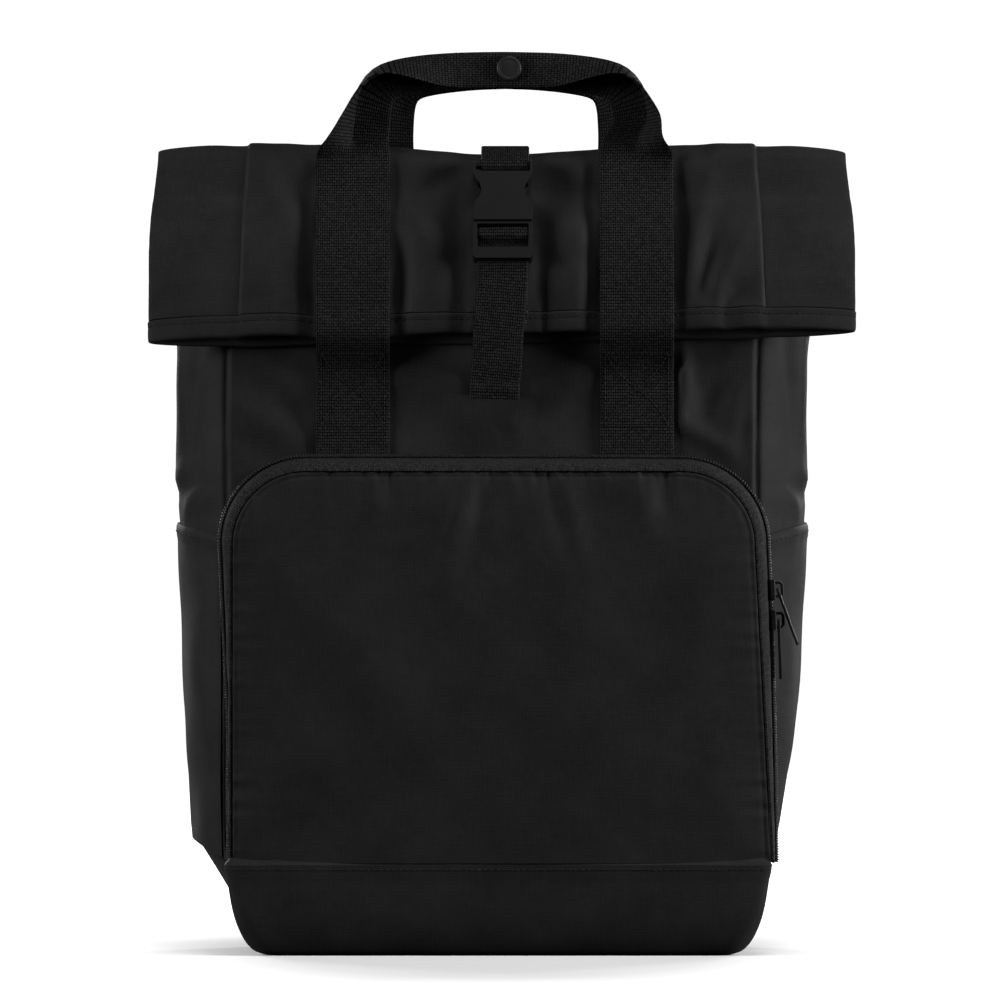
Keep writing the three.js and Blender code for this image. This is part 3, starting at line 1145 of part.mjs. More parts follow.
// A short loop holds the frame's top bar to the pad's end.
function padLoop(hand) {
  const matrix = adjusterMatrix(hand);
  const top = ADJUST_LENGTH / 2;
  const at = (y, z) => {
    const p = vec(0, y, z).applyMatrix4(matrix);
    return { x: p.x, y: p.y, z: p.z };
  };
  const radius = 3.3;
  const bend = [0, 45, 90, 135, 180].map((turn) => {
    const angle = THREE.MathUtils.degToRad(turn);
    return at(top - 0.95 - radius * 0.85 * Math.sin(angle), radius * Math.cos(angle));
  });
  return [at(top + 3.2, radius * 0.8), ...bend, at(top + 3.2, -radius * 0.8)];
}

for (const [hand, side] of [[-1, "left"], [1, "right"]]) {
  const strap = new THREE.Group();
  bag.add(strap);
  addPiece(`shoulder_pad_${side}`, shoulderPad(hand), cloth(), strap);
  addPiece(`adjuster_${side}`, fromManifold(adjuster(), adjusterMatrix(hand)), plastic(), strap);
  addPiece(`pad_loop_${side}`, ribbon(padLoop(hand), PAD_WEB_WIDTH * 0.9, 1.3), webbing(), strap);
  const lower = ribbon(lowerWebbing(hand), PAD_WEB_WIDTH, CLOSURE_THICK);
  addPiece(`lower_webbing_${side}`, lower, webbing(), strap);
}

// The two zip sliders face each other on the pocket's right side. Their own axes: x away from the coil,
// y to the bag's back, z up along the coil; the origin is on the coil's middle line.
const SLIDER_LENGTH = 10.5;
const SLIDER_WIDTH = 7.2;
const SLIDER_PLATE = 1.3;
const SLIDER_LIFT = COIL_RADIUS + 0.35; // underside of the plate above the coil's middle line
const BAIL_WIDTH = 2.1;
const BAIL_THICK = 1.5;
const BAIL_ROOM = 2.9; // clear height under the bail
const BAIL_HALF = 2.7; // half its clear length
const PULL_LENGTH = 31;
const PULL_WIDTH = 6;
const PULL_THICK = 1.4;
const PULL_PIN = 1.35; // height of the pull's cross bar above the plate

// upper and lower sliders: how far each lies below the pocket's top, and how far its pull hangs out
// from straight down, in degrees.
const SLIDERS = [
  { name: "upper", drop: 60.9, hang: 20 },
  { name: "lower", drop: 76.5, hang: 2 },
];

function coilPlace(height) {
  let low = 1 - SIDE_SHARE - CORNER_SHARE;
  let high = 1;
  for (let i = 0; i < 40; i++) {
    const middle = (low + high) / 2;
    if (coilRing(middle, Math.PI / 2).z > height) low = middle;
    else high = middle;
  }
  const here = vec(0, 0, 0);
  for (let k = 0; k < COIL_SIDES; k++) here.add(coilRing(low, (k / COIL_SIDES) * 2 * Math.PI));
  here.multiplyScalar(1 / COIL_SIDES);
  return here;
}

function sliderMatrix(slider) {
  const height = POCKET_TOP - slider.drop;
  const here = coilPlace(height);
  const up = coilPlace(height + 8).sub(coilPlace(height - 8)).normalize();
  const back = vec(0, 1, 0);
  const out = back.clone().cross(up).normalize();
  return new THREE.Matrix4().makeBasis(out, up.clone().cross(out).normalize(), up).setPosition(here);
}

function sliderBody() {
  const floor = SLIDER_LIFT + SLIDER_PLATE;
  const base = block(SLIDER_LIFT + SLIDER_PLATE / 2, 0, 0, SLIDER_PLATE, SLIDER_WIDTH, SLIDER_LENGTH);
  const rim = COIL_RADIUS - TAPE_THICK + GAP; // its flanges reach down beside the coil, short of the tape
  const high = SLIDER_LIFT - rim;
  const beside = SLIDER_WIDTH / 2 - 0.5;
  const flange = (side) => block(rim + high / 2 + 0.1, side * beside, 0, high + 0.2, 1, SLIDER_LENGTH * 0.9);
  const foot = BAIL_HALF + BAIL_THICK;
  const tall = BAIL_ROOM + BAIL_THICK;
  const arch = block(floor + tall / 2 - 0.1, 0, 0, tall + 0.2, BAIL_WIDTH, 2 * foot);
  const room = block(floor + BAIL_ROOM / 2, 0, 0, BAIL_ROOM, BAIL_WIDTH + 1, 2 * BAIL_HALF);
  const cut = (side) => {
    const corner = Manifold.cube([2.2, 20, 2.2], true).rotate([0, 45, 0]);
    return corner.translate([floor + BAIL_ROOM + BAIL_THICK, 0, side * foot]);
  };
  return base.add(flange(1)).add(flange(-1)).add(arch.subtract(room).subtract(cut(1)).subtract(cut(-1)));
}

// The pull hangs from its cross bar, which lies along y through the slider's own place under the bail.
function pullPlate() {
  const end = 2.2; // of the rounded tip
  const half = PULL_WIDTH / 2;
  const rows = [
    [-half + 0.8, 0.7],
    [half - 0.8, 0.7],
    [half, 0.1],
    [half, -PULL_LENGTH + end + 1.3],
    [half - 0.7, -PULL_LENGTH + end - 0.6],
    [half - 2, -PULL_LENGTH + 0.75],
    [-half + 2, -PULL_LENGTH + 0.75],
    [-half + 0.7, -PULL_LENGTH + end - 0.6],
    [-half, -PULL_LENGTH + end + 1.3],
    [-half, 0.1],
  ].reverse();
  const outline = new CrossSection([rows], "NonZero");
  const slot = CrossSection.square([3.3, 5.4], true).translate([0, -0.7 - 2.7]);
  const hole = CrossSection.circle(1.3, 12).translate([0, -PULL_LENGTH + 5]);
  return outline.subtract(slot).subtract(hole).extrude(PULL_THICK).translate([0, 0, -PULL_THICK / 2]);
}

for (const slider of SLIDERS) {
  const matrix = sliderMatrix(slider);
  addPiece(`slider_${slider.name}`, fromManifold(sliderBody(), matrix), painted());
  const pin = vec(SLIDER_LIFT + SLIDER_PLATE + PULL_PIN, 0, 0).applyMatrix4(matrix);
  const hang = THREE.MathUtils.degToRad(slider.hang);
  const down = vec(Math.sin(hang), 0, -Math.cos(hang));
  const across = vec(0, 1, 0);
  const up = down.negate();
  const pullMatrix = new THREE.Matrix4().makeBasis(across, up, across.clone().cross(up));
  addPiece(`pull_${slider.name}`, fromManifold(pullPlate(), pullMatrix.setPosition(pin)), painted());
}

export default bag;
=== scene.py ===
# %% [markdown]
# # A rolltop backpack
#
# The bag is one flat-ended tube of cloth. Its mouth is folded forward over its own front and held by a strap
# with a side-release buckle. A zipped pocket stands on its front, a slip pocket lies over each gusset, and
# two webbing handles are folded in half and joined by a press stud. This file gives each cloth, webbing and
# plastic piece its surface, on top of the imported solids.

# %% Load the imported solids
import bmesh
import bpy
import numpy as np
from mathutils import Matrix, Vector


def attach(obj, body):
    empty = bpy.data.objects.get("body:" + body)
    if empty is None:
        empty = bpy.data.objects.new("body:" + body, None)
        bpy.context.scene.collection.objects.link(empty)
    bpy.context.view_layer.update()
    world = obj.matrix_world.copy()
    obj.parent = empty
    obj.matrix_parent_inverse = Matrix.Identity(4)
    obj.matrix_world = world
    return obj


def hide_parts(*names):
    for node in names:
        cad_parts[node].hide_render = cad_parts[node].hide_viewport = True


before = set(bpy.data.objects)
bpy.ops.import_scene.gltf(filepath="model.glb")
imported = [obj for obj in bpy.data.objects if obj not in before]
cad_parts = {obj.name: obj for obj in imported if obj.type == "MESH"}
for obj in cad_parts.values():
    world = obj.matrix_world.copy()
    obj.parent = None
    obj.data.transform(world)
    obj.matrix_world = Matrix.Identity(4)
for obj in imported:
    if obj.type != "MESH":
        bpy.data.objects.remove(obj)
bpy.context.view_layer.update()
ROOT = "bag"

# %% [markdown]
# ## Camera, light and floor
#
# The camera looks straight at the front from five metres with a long lens, so the sides hardly converge. Five
# square panels light the bag: one on each side, one above and two behind, so that the back shows from there
# as well.

# %% Camera
PIXEL = 0.517e-3  # metres of the bag's middle plane for each pixel of the picture
PICTURE = 1000  # pixels across the picture
CAMERA_AWAY = 5.0
CAMERA_HEIGHT = 0.2325
camera_data = bpy.data.cameras.new("camera")
camera_data.sensor_width = 36.0
camera_data.lens = camera_data.sensor_width * CAMERA_AWAY / (PICTURE * PIXEL)
camera_data.clip_end = 50
camera = bpy.data.objects.new("camera", camera_data)
camera.location = (0.0, -CAMERA_AWAY, CAMERA_HEIGHT)
camera.rotation_euler = (np.pi / 2, 0, 0)
bpy.context.scene.collection.objects.link(camera)
bpy.context.scene.camera = camera
print("lens:", round(camera_data.lens), "mm")

# %% Light
LIGHT_SIZE = 0.7
BAG_MIDDLE = (0, 0, 0.22)

def panel_light(name, place, power, aim=BAG_MIDDLE):
    """A square panel of LIGHT_SIZE metres at place, turned to face aim. Its power is in watts."""
    data = bpy.data.lights.new(name, "AREA")
    data.shape, data.size, data.energy = "SQUARE", LIGHT_SIZE, power
    light = bpy.data.objects.new(name, data)
    light.location = place
    light.rotation_euler = (Vector(aim) - Vector(place)).to_track_quat("-Z", "Y").to_euler()
    bpy.context.scene.collection.objects.link(light)

panel_light("light_left", (-2.0, -0.8, 0.7), 34)
panel_light("light_right", (2.0, -0.45, 0.55), 53)
panel_light("light_above", (0.3, -0.6, 2.0), 11, aim=(0, 0, 0.2))
panel_light("light_back_left", (-1.5, 2.2, 0.9), 34)
panel_light("light_back_right", (1.5, 2.2, 0.9), 34)
world = bpy.data.worlds.new("studio")
world.use_nodes = True
world.node_tree.nodes["Background"].inputs["Color"].default_value = (1, 1, 1, 1)
world.node_tree.nodes["Background"].inputs["Strength"].default_value = 0.02
bpy.context.scene.world = world
bpy.context.scene.view_settings.view_transform = "Standard"
print("lights:", [light.name for light in bpy.data.lights])

# %% [markdown]
# ## Small tools for surfaces
#
# Every cloth piece is a wall between an outer and an inner grid of points, worked out as whole arrays in
# millimetres. A table's rows are joined by a smooth curve, and folds are soft bumps added to the surface.

# %% Curves, bumps and grids
MM = 0.001

def table(names, *rows):
    """Columns of a table by name: table("a b", (1, 2), (3, 4))["b"] is [2, 4]."""
    return dict(zip(names.split(), np.array(rows, float).T))

def through(places, values, x):
    """The cubic through (places, values) whose slope at each row is that of its two neighbours, at x."""
    places, values, x = (np.asarray(a, float) for a in (places, values, x))
    ends = np.arange(len(places))
    low, high = np.maximum(ends - 1, 0), np.minimum(ends + 1, len(places) - 1)
    slope = (values[high] - values[low]) / (places[high] - places[low])
    i = np.clip(np.searchsorted(places, x, side="right") - 1, 0, len(places) - 2)
    span = places[i + 1] - places[i]
    t = (x - places[i]) / span
    ease = t * t * (3 - 2 * t)
    return (values[i] * (1 - ease) + values[i + 1] * ease + t * (1 - t) ** 2 * span * slope[i]
            + t * t * (t - 1) * span * slope[i + 1])

def smooth(low, high, x):
    """Eases from 0 at low to 1 at high: three times t squared less twice t cubed, t being the share of the
    way."""
    t = np.clip((np.asarray(x, float) - low) / (high - low), 0, 1)
    return t * t * (3 - 2 * t)

def bell(x, middle, reach):
    """1 at the middle, falling off on both sides: e to minus the square of the distance over reach."""
    return np.exp(-(((x - middle) / reach) ** 2))

def ripple(a, b, seed, waves=7):
    """Soft uneven waves between about -1 and 1 over a and b, both counted in wave lengths: a sum of seeded
    sines."""
    rng = np.random.default_rng(seed)
    total = 0.0
    for _ in range(waves):
        ka, kb = rng.uniform(0.45, 1.3) * rng.choice([-1, 1]), rng.uniform(0.45, 1.3) * rng.choice([-1, 1])
        total = total + np.sin(2 * np.pi * (ka * a + kb * b) + rng.uniform(0, 6.28))
    return total / np.sqrt(waves) / 1.4

def ridge(x, z, at, turn, long, thin):
    """A soft ridge or dent: 1 on its line, which is centred at `at` and turned `turn` degrees from
    upright."""
    a = np.radians(turn)
    dx, dz = x - at[0], z - at[1]
    across, along = dx * np.cos(a) + dz * np.sin(a), -dx * np.sin(a) + dz * np.cos(a)
    return np.exp(-((across / thin) ** 2) - (along / long) ** 2)

def unit(v):
    """Vectors of length 1 in the same directions."""
    return v / np.maximum(np.linalg.norm(v, axis=-1, keepdims=True), 1e-12)

print("halfway up a step:", float(smooth(0, 1, 0.5)))

# %% Meshes from grids
def new_piece(name, points, faces, uv, material, slot, body=ROOT, replaces=(), sharp=40):
    """A smooth-shaded object from points in millimetres, faces, and a UV for each point in metres."""
    mesh = bpy.data.meshes.new(name)
    mesh.from_pydata((np.asarray(points) * MM).tolist(), [], [list(map(int, f)) for f in faces])
    layer = mesh.uv_layers.new(name="cloth")
    loops = np.empty(len(mesh.loops), int)
    mesh.loops.foreach_get("vertex_index", loops)
    layer.data.foreach_set("uv", (np.asarray(uv)[loops] * MM).ravel())
    mesh.polygons.foreach_set("use_smooth", np.ones(len(mesh.polygons), bool))
    mesh.update()
    mesh.set_sharp_from_angle(angle=np.radians(sharp))
    mesh.materials.append(material)
    piece = bpy.data.objects.new(name, mesh)
    bpy.context.scene.collection.objects.link(piece)
    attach(piece, body)
    if replaces:
        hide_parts(*([replaces] if isinstance(replaces, str) else replaces))
    return piece

def quads(a, b, c, d):
    """Four-cornered faces from four arrays of point numbers."""
    return np.stack([a, b, c, d], -1).reshape(-1, 4)

def wall_faces(nu, nv, closed=False):
    """Faces of a wall whose outer grid (nu, nv) comes first and whose inner grid follows."""
    i, j = np.meshgrid(np.arange(nu if closed else nu - 1), np.arange(nv - 1), indexing="ij")
    k, n = (i + 1) % nu, nu * nv
    out = quads(i * nv + j, k * nv + j, k * nv + j + 1, i * nv + j + 1)
    faces = [out, out[:, ::-1] + n]
    i = np.arange(nu if closed else nu - 1)
    k = (i + 1) % nu
    faces += [quads(k * nv, i * nv, i * nv + n, k * nv + n),
              quads(i * nv + nv - 1, k * nv + nv - 1, k * nv + nv - 1 + n, i * nv + nv - 1 + n)]
    if not closed:
        j, e = np.arange(nv - 1), (nu - 1) * nv
        faces += [quads(j, j + 1, j + 1 + n, j + n), quads(e + j + 1, e + j, e + j + n, e + j + 1 + n)]
    return np.concatenate(faces)

def signed_volume(points, faces):
    """Six times the volume inside the faces: positive when they face outwards."""
    p = points[faces]
    first = np.einsum("ij,ij->i", p[:, 0], np.cross(p[:, 1], p[:, 2])).sum()
    return first + np.einsum("ij,ij->i", p[:, 0], np.cross(p[:, 2], p[:, 3])).sum()

walls = {}  # the outer and inner grid of each wall, by name

def wall(name, outer, inner, material, slot, closed=False, run=None, **more):
    """A wall between two grids of points (nu, nv, 3). Its UV runs in millimetres over the outer grid, or
    along run."""
    nu, nv = outer.shape[:2]
    walls[name] = (outer, inner)
    points = np.concatenate([outer.reshape(-1, 3), inner.reshape(-1, 3)])
    faces = wall_faces(nu, nv, closed)
    if signed_volume(points, faces) < 0:
        faces = faces[:, ::-1]
    step_u = np.linalg.norm(np.diff(outer, axis=0), axis=-1)
    step_v = np.linalg.norm(np.diff(outer, axis=1), axis=-1)
    u = np.concatenate([np.zeros((1, nv)), np.cumsum(step_u, 0)])
    v = np.concatenate([np.zeros((nu, 1)), np.cumsum(step_v, 1)], 1)
    u = u - u[nu // 2] if run is None else np.broadcast_to(np.asarray(run)[:, None], u.shape)
    uv = np.stack([u, np.broadcast_to(v.mean(0), u.shape)], -1).reshape(-1, 2)
    return new_piece(name, points, faces, np.concatenate([uv, uv]), material, slot, **more)

print("faces of the smallest wall:", len(wall_faces(2, 2)))

# %% [markdown]
# ## Materials
#
# Cloth and webbing are woven by nodes: crossed waves or a brick pattern on the piece's own UV, which runs in
# metres along the cloth, with thicker and thinner threads from stretched noise. Their colour is darker where
# the threads lie low, as painted shade between and beside the threads. Plastic and enamel get a fine grain
# and wear.

# %% Node helpers
def material(name, base, rough, **sockets):
    """A new material and small functions that add nodes to it. base is linear grey or (r, g, b)."""
    mat = bpy.data.materials.new(name)
    mat.use_nodes = True
    tree = mat.node_tree
    shader = tree.nodes["Principled BSDF"]
    colour = base if isinstance(base, tuple) else (base, base, base * 1.02)
    shader.inputs["Base Color"].default_value = (*colour, 1)
    shader.inputs["Roughness"].default_value = rough
    for key, value in sockets.items():
        shader.inputs[key.replace("_", " ")].default_value = value

    def node(kind, link=None, **values):
        n = tree.nodes.new(kind)
        for key, value in values.items():
            if key in ("operation", "blend_type", "bands_direction", "wave_profile", "uv_map", "offset",
                       "data_type"):
                setattr(n, key, value)
            else:
                n.inputs[key.replace("_", " ")].default_value = value
        for socket, source in (link or {}).items():
            tree.links.new(source, n.inputs[socket])
        return n
    return mat, tree, shader, node, colour

def tint(tree, shader, node, colour, factor, low, high, span=(0.25, 0.75)):
    """Makes the base colour run from colour * low to colour * high as factor crosses the span."""
    ramp = node("ShaderNodeValToRGB", {"Fac": factor})
    ramp.color_ramp.elements[0].position, ramp.color_ramp.elements[1].position = span
    ramp.color_ramp.elements[0].color = (*(c * low for c in colour), 1)
    ramp.color_ramp.elements[1].color = (*(c * high for c in colour), 1)
    tree.links.new(ramp.outputs["Color"], shader.inputs["Base Color"])

def woven(name, base, rough, pitch, depth):
    """Plain woven cloth: threads of the given pitch in metres cross each other and vary a little in
    thickness. Its colour is darker where the threads lie low, as painted shade between them, and varies in
    random clouds."""
    mat, tree, shader, node, colour = material(name, base, rough, Sheen_Weight=0.02, Sheen_Roughness=0.45)
    shader.inputs["Specular IOR Level"].default_value = 0.06
    uv = node("ShaderNodeUVMap", uv_map="cloth").outputs["UV"]
    height = None
    for direction, stretch in (("X", (1.0, 0.12, 1)), ("Y", (0.12, 1.0, 1))):
        wave = node("ShaderNodeTexWave", {"Vector": uv}, bands_direction=direction, Scale=0.314 / pitch,
                    Distortion=0.0)
        squeeze = node("ShaderNodeMapping", {"Vector": uv}, Scale=stretch)
        slub = node("ShaderNodeTexNoise", {"Vector": squeeze.outputs["Vector"]}, Scale=0.9 / pitch,
                    Detail=2.0)
        both = node("ShaderNodeMath", {0: wave.outputs["Fac"], 1: slub.outputs["Fac"]}, operation="MULTIPLY")
        height = both.outputs[0] if height is None else node(
            "ShaderNodeMath", {0: height, 1: both.outputs[0]}, operation="MAXIMUM").outputs[0]
    # The colour follows the threads' height, as painted shade in the hollows between threads, plus a random
    # cloudy tone.
    cloud = node("ShaderNodeTexNoise", {"Vector": uv}, Scale=26.0, Detail=5.0, Roughness=0.6)
    mix = node("ShaderNodeMath", {0: height, 1: cloud.outputs["Fac"]}, operation="ADD")
    half = node("ShaderNodeMath", {0: mix.outputs[0]}, operation="MULTIPLY")
    half.inputs[1].default_value = 0.62
    tint(tree, shader, node, colour, half.outputs[0], 0.55, 1.6)
    bump = node("ShaderNodeBump", {"Height": height}, Strength=0.8, Distance=depth)
    tree.links.new(bump.outputs["Normal"], shader.inputs["Normal"])
    return mat

def ribbed(name, base, rough, long, high, depth, offset=0.5, turn=90, beads=0.5, bright=2.6):
    """Webbing: rows of thread floats, long by high in metres, with the gaps between them painted black as
    shade, and two beads on each float whose sides are painted darker as shade and whose bump rounds them."""
    mat, tree, shader, node, colour = material(name, base, rough, Sheen_Weight=0.0)
    shader.inputs["Specular IOR Level"].default_value = 0.03
    flat = node("ShaderNodeUVMap", uv_map="cloth").outputs["UV"]
    uv = node("ShaderNodeMapping", {"Vector": flat}, Rotation=(0, 0, np.radians(turn))).outputs["Vector"]
    brick = node("ShaderNodeTexBrick", {"Vector": uv}, offset=offset, Scale=1.0, Mortar_Size=high * 0.2,
                 Mortar_Smooth=1.0, Brick_Width=long, Row_Height=high)
    brick.inputs["Color1"].default_value = (1, 1, 1, 1)
    brick.inputs["Color2"].default_value = (0.72, 0.72, 0.72, 1)
    # The black mortar is painted shade in the gaps between the floats.
    brick.inputs["Mortar"].default_value = (0, 0, 0, 1)
    fibre = node("ShaderNodeTexNoise", {"Vector": uv}, Scale=900.0, Detail=3.0)
    bead = node("ShaderNodeTexWave", {"Vector": uv}, bands_direction="X", Scale=0.628 / long, Distortion=0.0)
    # The bead wave darkens each float towards its sides as painted shade, and also rounds its bump.
    bead_bump_and_shade = node("ShaderNodeMapRange", {"Value": bead.outputs["Fac"]}, To_Min=1 - beads, To_Max=1.0)
    beaded = node("ShaderNodeMath", {0: brick.outputs["Color"], 1: bead_bump_and_shade.outputs["Result"]},
                  operation="MULTIPLY")
    rows = node("ShaderNodeMath", {0: beaded.outputs[0], 1: fibre.outputs["Fac"]}, operation="MULTIPLY")
    tint(tree, shader, node, colour, rows.outputs[0], 0.08, bright, (0.1, 0.5))
    bump = node("ShaderNodeBump", {"Height": rows.outputs[0]}, Strength=0.9, Distance=depth)
    tree.links.new(bump.outputs["Normal"], shader.inputs["Normal"])
    return mat

def moulded(name, base, rough, grain=900.0, depth=0.00003, metal=0.0, wear=1.6, shine=0.16):
    """Moulded plastic or enamel: a fine grain, smudges in its gloss, and paler worn spots."""
    mat, tree, shader, node, colour = material(name, base, rough, Metallic=metal, Specular_IOR_Level=shine)
    place = node("ShaderNodeTexCoord").outputs["Object"]
    fine = node("ShaderNodeTexNoise", {"Vector": place}, Scale=grain, Detail=3.0)
    broad = node("ShaderNodeTexNoise", {"Vector": place}, Scale=130.0, Detail=6.0)
    tint(tree, shader, node, colour, broad.outputs["Fac"], 0.85, wear)
    gloss = node("ShaderNodeMapRange", {"Value": broad.outputs["Fac"]}, To_Min=rough * 0.75,
                 To_Max=rough * 1.3)
    tree.links.new(gloss.outputs["Result"], shader.inputs["Roughness"])
    bump = node("ShaderNodeBump", {"Height": fine.outputs["Fac"]}, Strength=0.5, Distance=depth)
    tree.links.new(bump.outputs["Normal"], shader.inputs["Normal"])
    return mat

# %% The materials
THREAD_PITCH, THREAD_DEPTH = 0.00085, 0.00012
CLOTH = woven("cloth", 0.0165, 0.62, THREAD_PITCH, THREAD_DEPTH)
PAD_CLOTH = woven("pad_cloth", 0.0165, 0.7, THREAD_PITCH, THREAD_DEPTH)
WEB = ribbed("webbing", 0.0105, 0.62, 0.00235, 0.0015, 0.0004, bright=3.2)
NARROW_WEB = ribbed("narrow_webbing", 0.0095, 0.62, 0.0023, 0.00152, 0.0004, bright=3.2)
TWILL = ribbed("twill_tape", 0.022, 0.7, 0.0022, 0.0009, 0.0002, offset=0.33, turn=45, beads=0.2, bright=2.0)
THREAD = ribbed("thread", 0.02, 0.5, 0.0009, 0.0004, 0.0001, beads=0.3, bright=2.4)
PLASTIC = moulded("black_plastic", 0.0042, 0.42, shine=0.11)
COIL = moulded("coil_plastic", 0.012, 0.4, grain=500.0)
ENAMEL = moulded("black_enamel", 0.014, 0.34, metal=0.35, wear=2.2)
STUD = moulded("stud_enamel", 0.024, 0.42, metal=0.2, wear=1.4)
print("materials:", len(bpy.data.materials))

# %% [markdown]
# ## The tube
#
# The same sections as the solids: from the base seam up, over the fold, and down to the mouth's hem. `run`
# counts millimetres along its middle line and `t` goes across a panel from -1 to 1. Each panel curls in a
# little at its seams, and is drawn up there in small puckers.

# %% Sections
BAG_HEIGHT, BODY_WIDTH, PANEL_WIDTH, BODY_DEPTH = 417.0, 326.0, 272.0, 86.0
FLAP_WIDTH, FLAP_PANEL_WIDTH, FLAP_DROP = 363.0, 271.0, 101.0
FLAT_DEPTH, ROLL_RADIUS, CLOTH_THICK, GAP = 9.6, 7.0, 1.6, 0.3
BASE_BAND, SIDE_LIFT, HEM_HEIGHT, HEM_EXTRA, HEM_TILT = 47.0, 11.0, 11.0, 0.5, 6.0
INNER_LAYER_DROP, CREST_DIP, CREST_DIP_REACH = 4.6, 5.8, 65.0
LEFT_LEG, RIGHT_LEG, WEB_WIDTH, WEB_THICK = -75.5, 70.3, 38.0, 1.6

BODY = table("rise back deep wide seam lean crown",
    (0.112, 0.08, 0.485, 0.4555, 0.486, -0.0245, 0.03), (0.198, 0.08, 0.5, 0.466, 0.494, -0.0195, 0.05),
    (0.3, 0.08, 0.506, 0.4767, 0.498, -0.0145, 0.06), (0.43, 0.08, 0.506, 0.4847, 0.5, -0.0126, 0.06),
    (0.53, 0.075, 0.5, 0.493, 0.5, -0.0126, 0.05), (0.611, 0.064, 0.477, 0.4985, 0.5, -0.0135, 0.035),
    (0.692, 0.047, 0.43, 0.499, 0.5, -0.0132, 0.03), (0.742, 0.035, 0.39, 0.5, 0.5, -0.012, 0.03),
    (0.811, 0.03, 0.3, 0.512, 0.5, -0.0075, 0.02), (0.878, 0.034, 0.188, 0.534, 0.499, -0.003, 0.01))
FLAP = table("drop front deep wide seam crown",
    (0.26, 0.176, 0.46, 0.494, 0.49, 0.05), (0.38, 0.243, 0.49, 0.498, 0.493, 0.2),
    (0.54, 0.32, 0.52, 0.5, 0.496, 0.4), (0.7, 0.38, 0.54, 0.5, 0.498, 0.4),
    (0.86, 0.42, 0.55, 0.5, 0.5, 0.25), (1.0, 0.445, 0.56, 0.499, 0.5, 0.08))

def tube_columns():
    """The middle line and the section at each row: up the body, round the fold (arc) and down the flap."""
    turn = np.array([-20, 15, 55, 90, 125, 160.0])
    angle, early = np.radians(turn), turn < 0
    arc = dict(
        y=-0.04 * BODY_DEPTH + ROLL_RADIUS * np.cos(angle),
        z=BAG_HEIGHT - FLAT_DEPTH / 2 - ROLL_RADIUS + ROLL_RADIUS * (np.sin(angle) - early),
        deep=FLAT_DEPTH / 2 * np.where(early, 1.45, 1), wide=FLAP_WIDTH * 0.489 + 0 * turn,
        seam=FLAP_PANEL_WIDTH * 0.486 + 0 * turn, lean=np.where(early, 0.0, 1.0), crown=0 * turn,
        flap=0 * turn)
    body = dict(
        y=BODY["back"] * BODY_DEPTH, z=BODY["rise"] * BAG_HEIGHT, deep=BODY["deep"] * BODY_DEPTH,
        wide=BODY["wide"] * BODY_WIDTH, seam=BODY["seam"] * PANEL_WIDTH, lean=BODY["lean"] * BODY_WIDTH,
        crown=BODY["crown"] * BODY_DEPTH, flap=0 * BODY["rise"])
    flap = dict(
        y=-FLAP["front"] * BODY_DEPTH, z=BAG_HEIGHT - FLAP["drop"] * FLAP_DROP,
        deep=FLAP["deep"] * FLAT_DEPTH,
        wide=FLAP["wide"] * FLAP_WIDTH, seam=FLAP["seam"] * FLAP_PANEL_WIDTH, lean=1 + 0 * FLAP["drop"],
        crown=FLAP["crown"] * FLAT_DEPTH, flap=smooth(0.2, 1, FLAP["drop"]))
    return {key: np.concatenate([body[key], arc[key], flap[key]]) for key in body}

ROWS = tube_columns()
RUN = np.concatenate([[0], np.cumsum(np.hypot(np.diff(ROWS["y"]), np.diff(ROWS["z"])))])
FOLD_ROW = len(BODY["rise"]) + 3
FOLD_RUN, MOUTH_RUN = RUN[FOLD_ROW], RUN[-1]
HEM_RUN = MOUTH_RUN - HEM_HEIGHT

def column(key, run):
    """One of the tube's measures at a run."""
    return through(RUN, ROWS[key], run)

# side: place across, of the panel's half width. run: of the tube's run. across, along: reach. height: of
# BODY_DEPTH.
FOLDS = {
    "front": table("side run across along height",
        (0.66, 0.33, 0.16, 0.035, -0.06), (0.52, 0.35, 0.1, 0.06, 0.035), (-0.72, 0.35, 0.2, 0.04, -0.035)),
    "back": table("side run across along height",
        (-0.3, 0.86, 0.16, 0.06, 0.03), (0.32, 0.87, 0.14, 0.05, 0.03), (-0.86, 0.85, 0.12, 0.06, 0.02),
        (0.8, 0.88, 0.1, 0.05, -0.02), (0.0, 0.3, 0.45, 0.2, 0.03))}

def folds_at(panel, t, run):
    """The broad swellings and dents of a panel, in millimetres outwards."""
    height = 0.0
    f = FOLDS[panel]
    for side, place, across, along, tall in zip(f["side"], f["run"], f["across"], f["along"], f["height"]):
        height = height + tall * bell(t, side, across) * bell(run / MOUTH_RUN, place, along)
    return height * BODY_DEPTH * (1 - t ** 6)

def leg_pinch(x):
    """1 under the middle of a handle leg, where the flap is held flat, and less beside it."""
    return bell(x, LEFT_LEG, WEB_WIDTH * 0.62) + bell(x, RIGHT_LEG, WEB_WIDTH * 0.62)

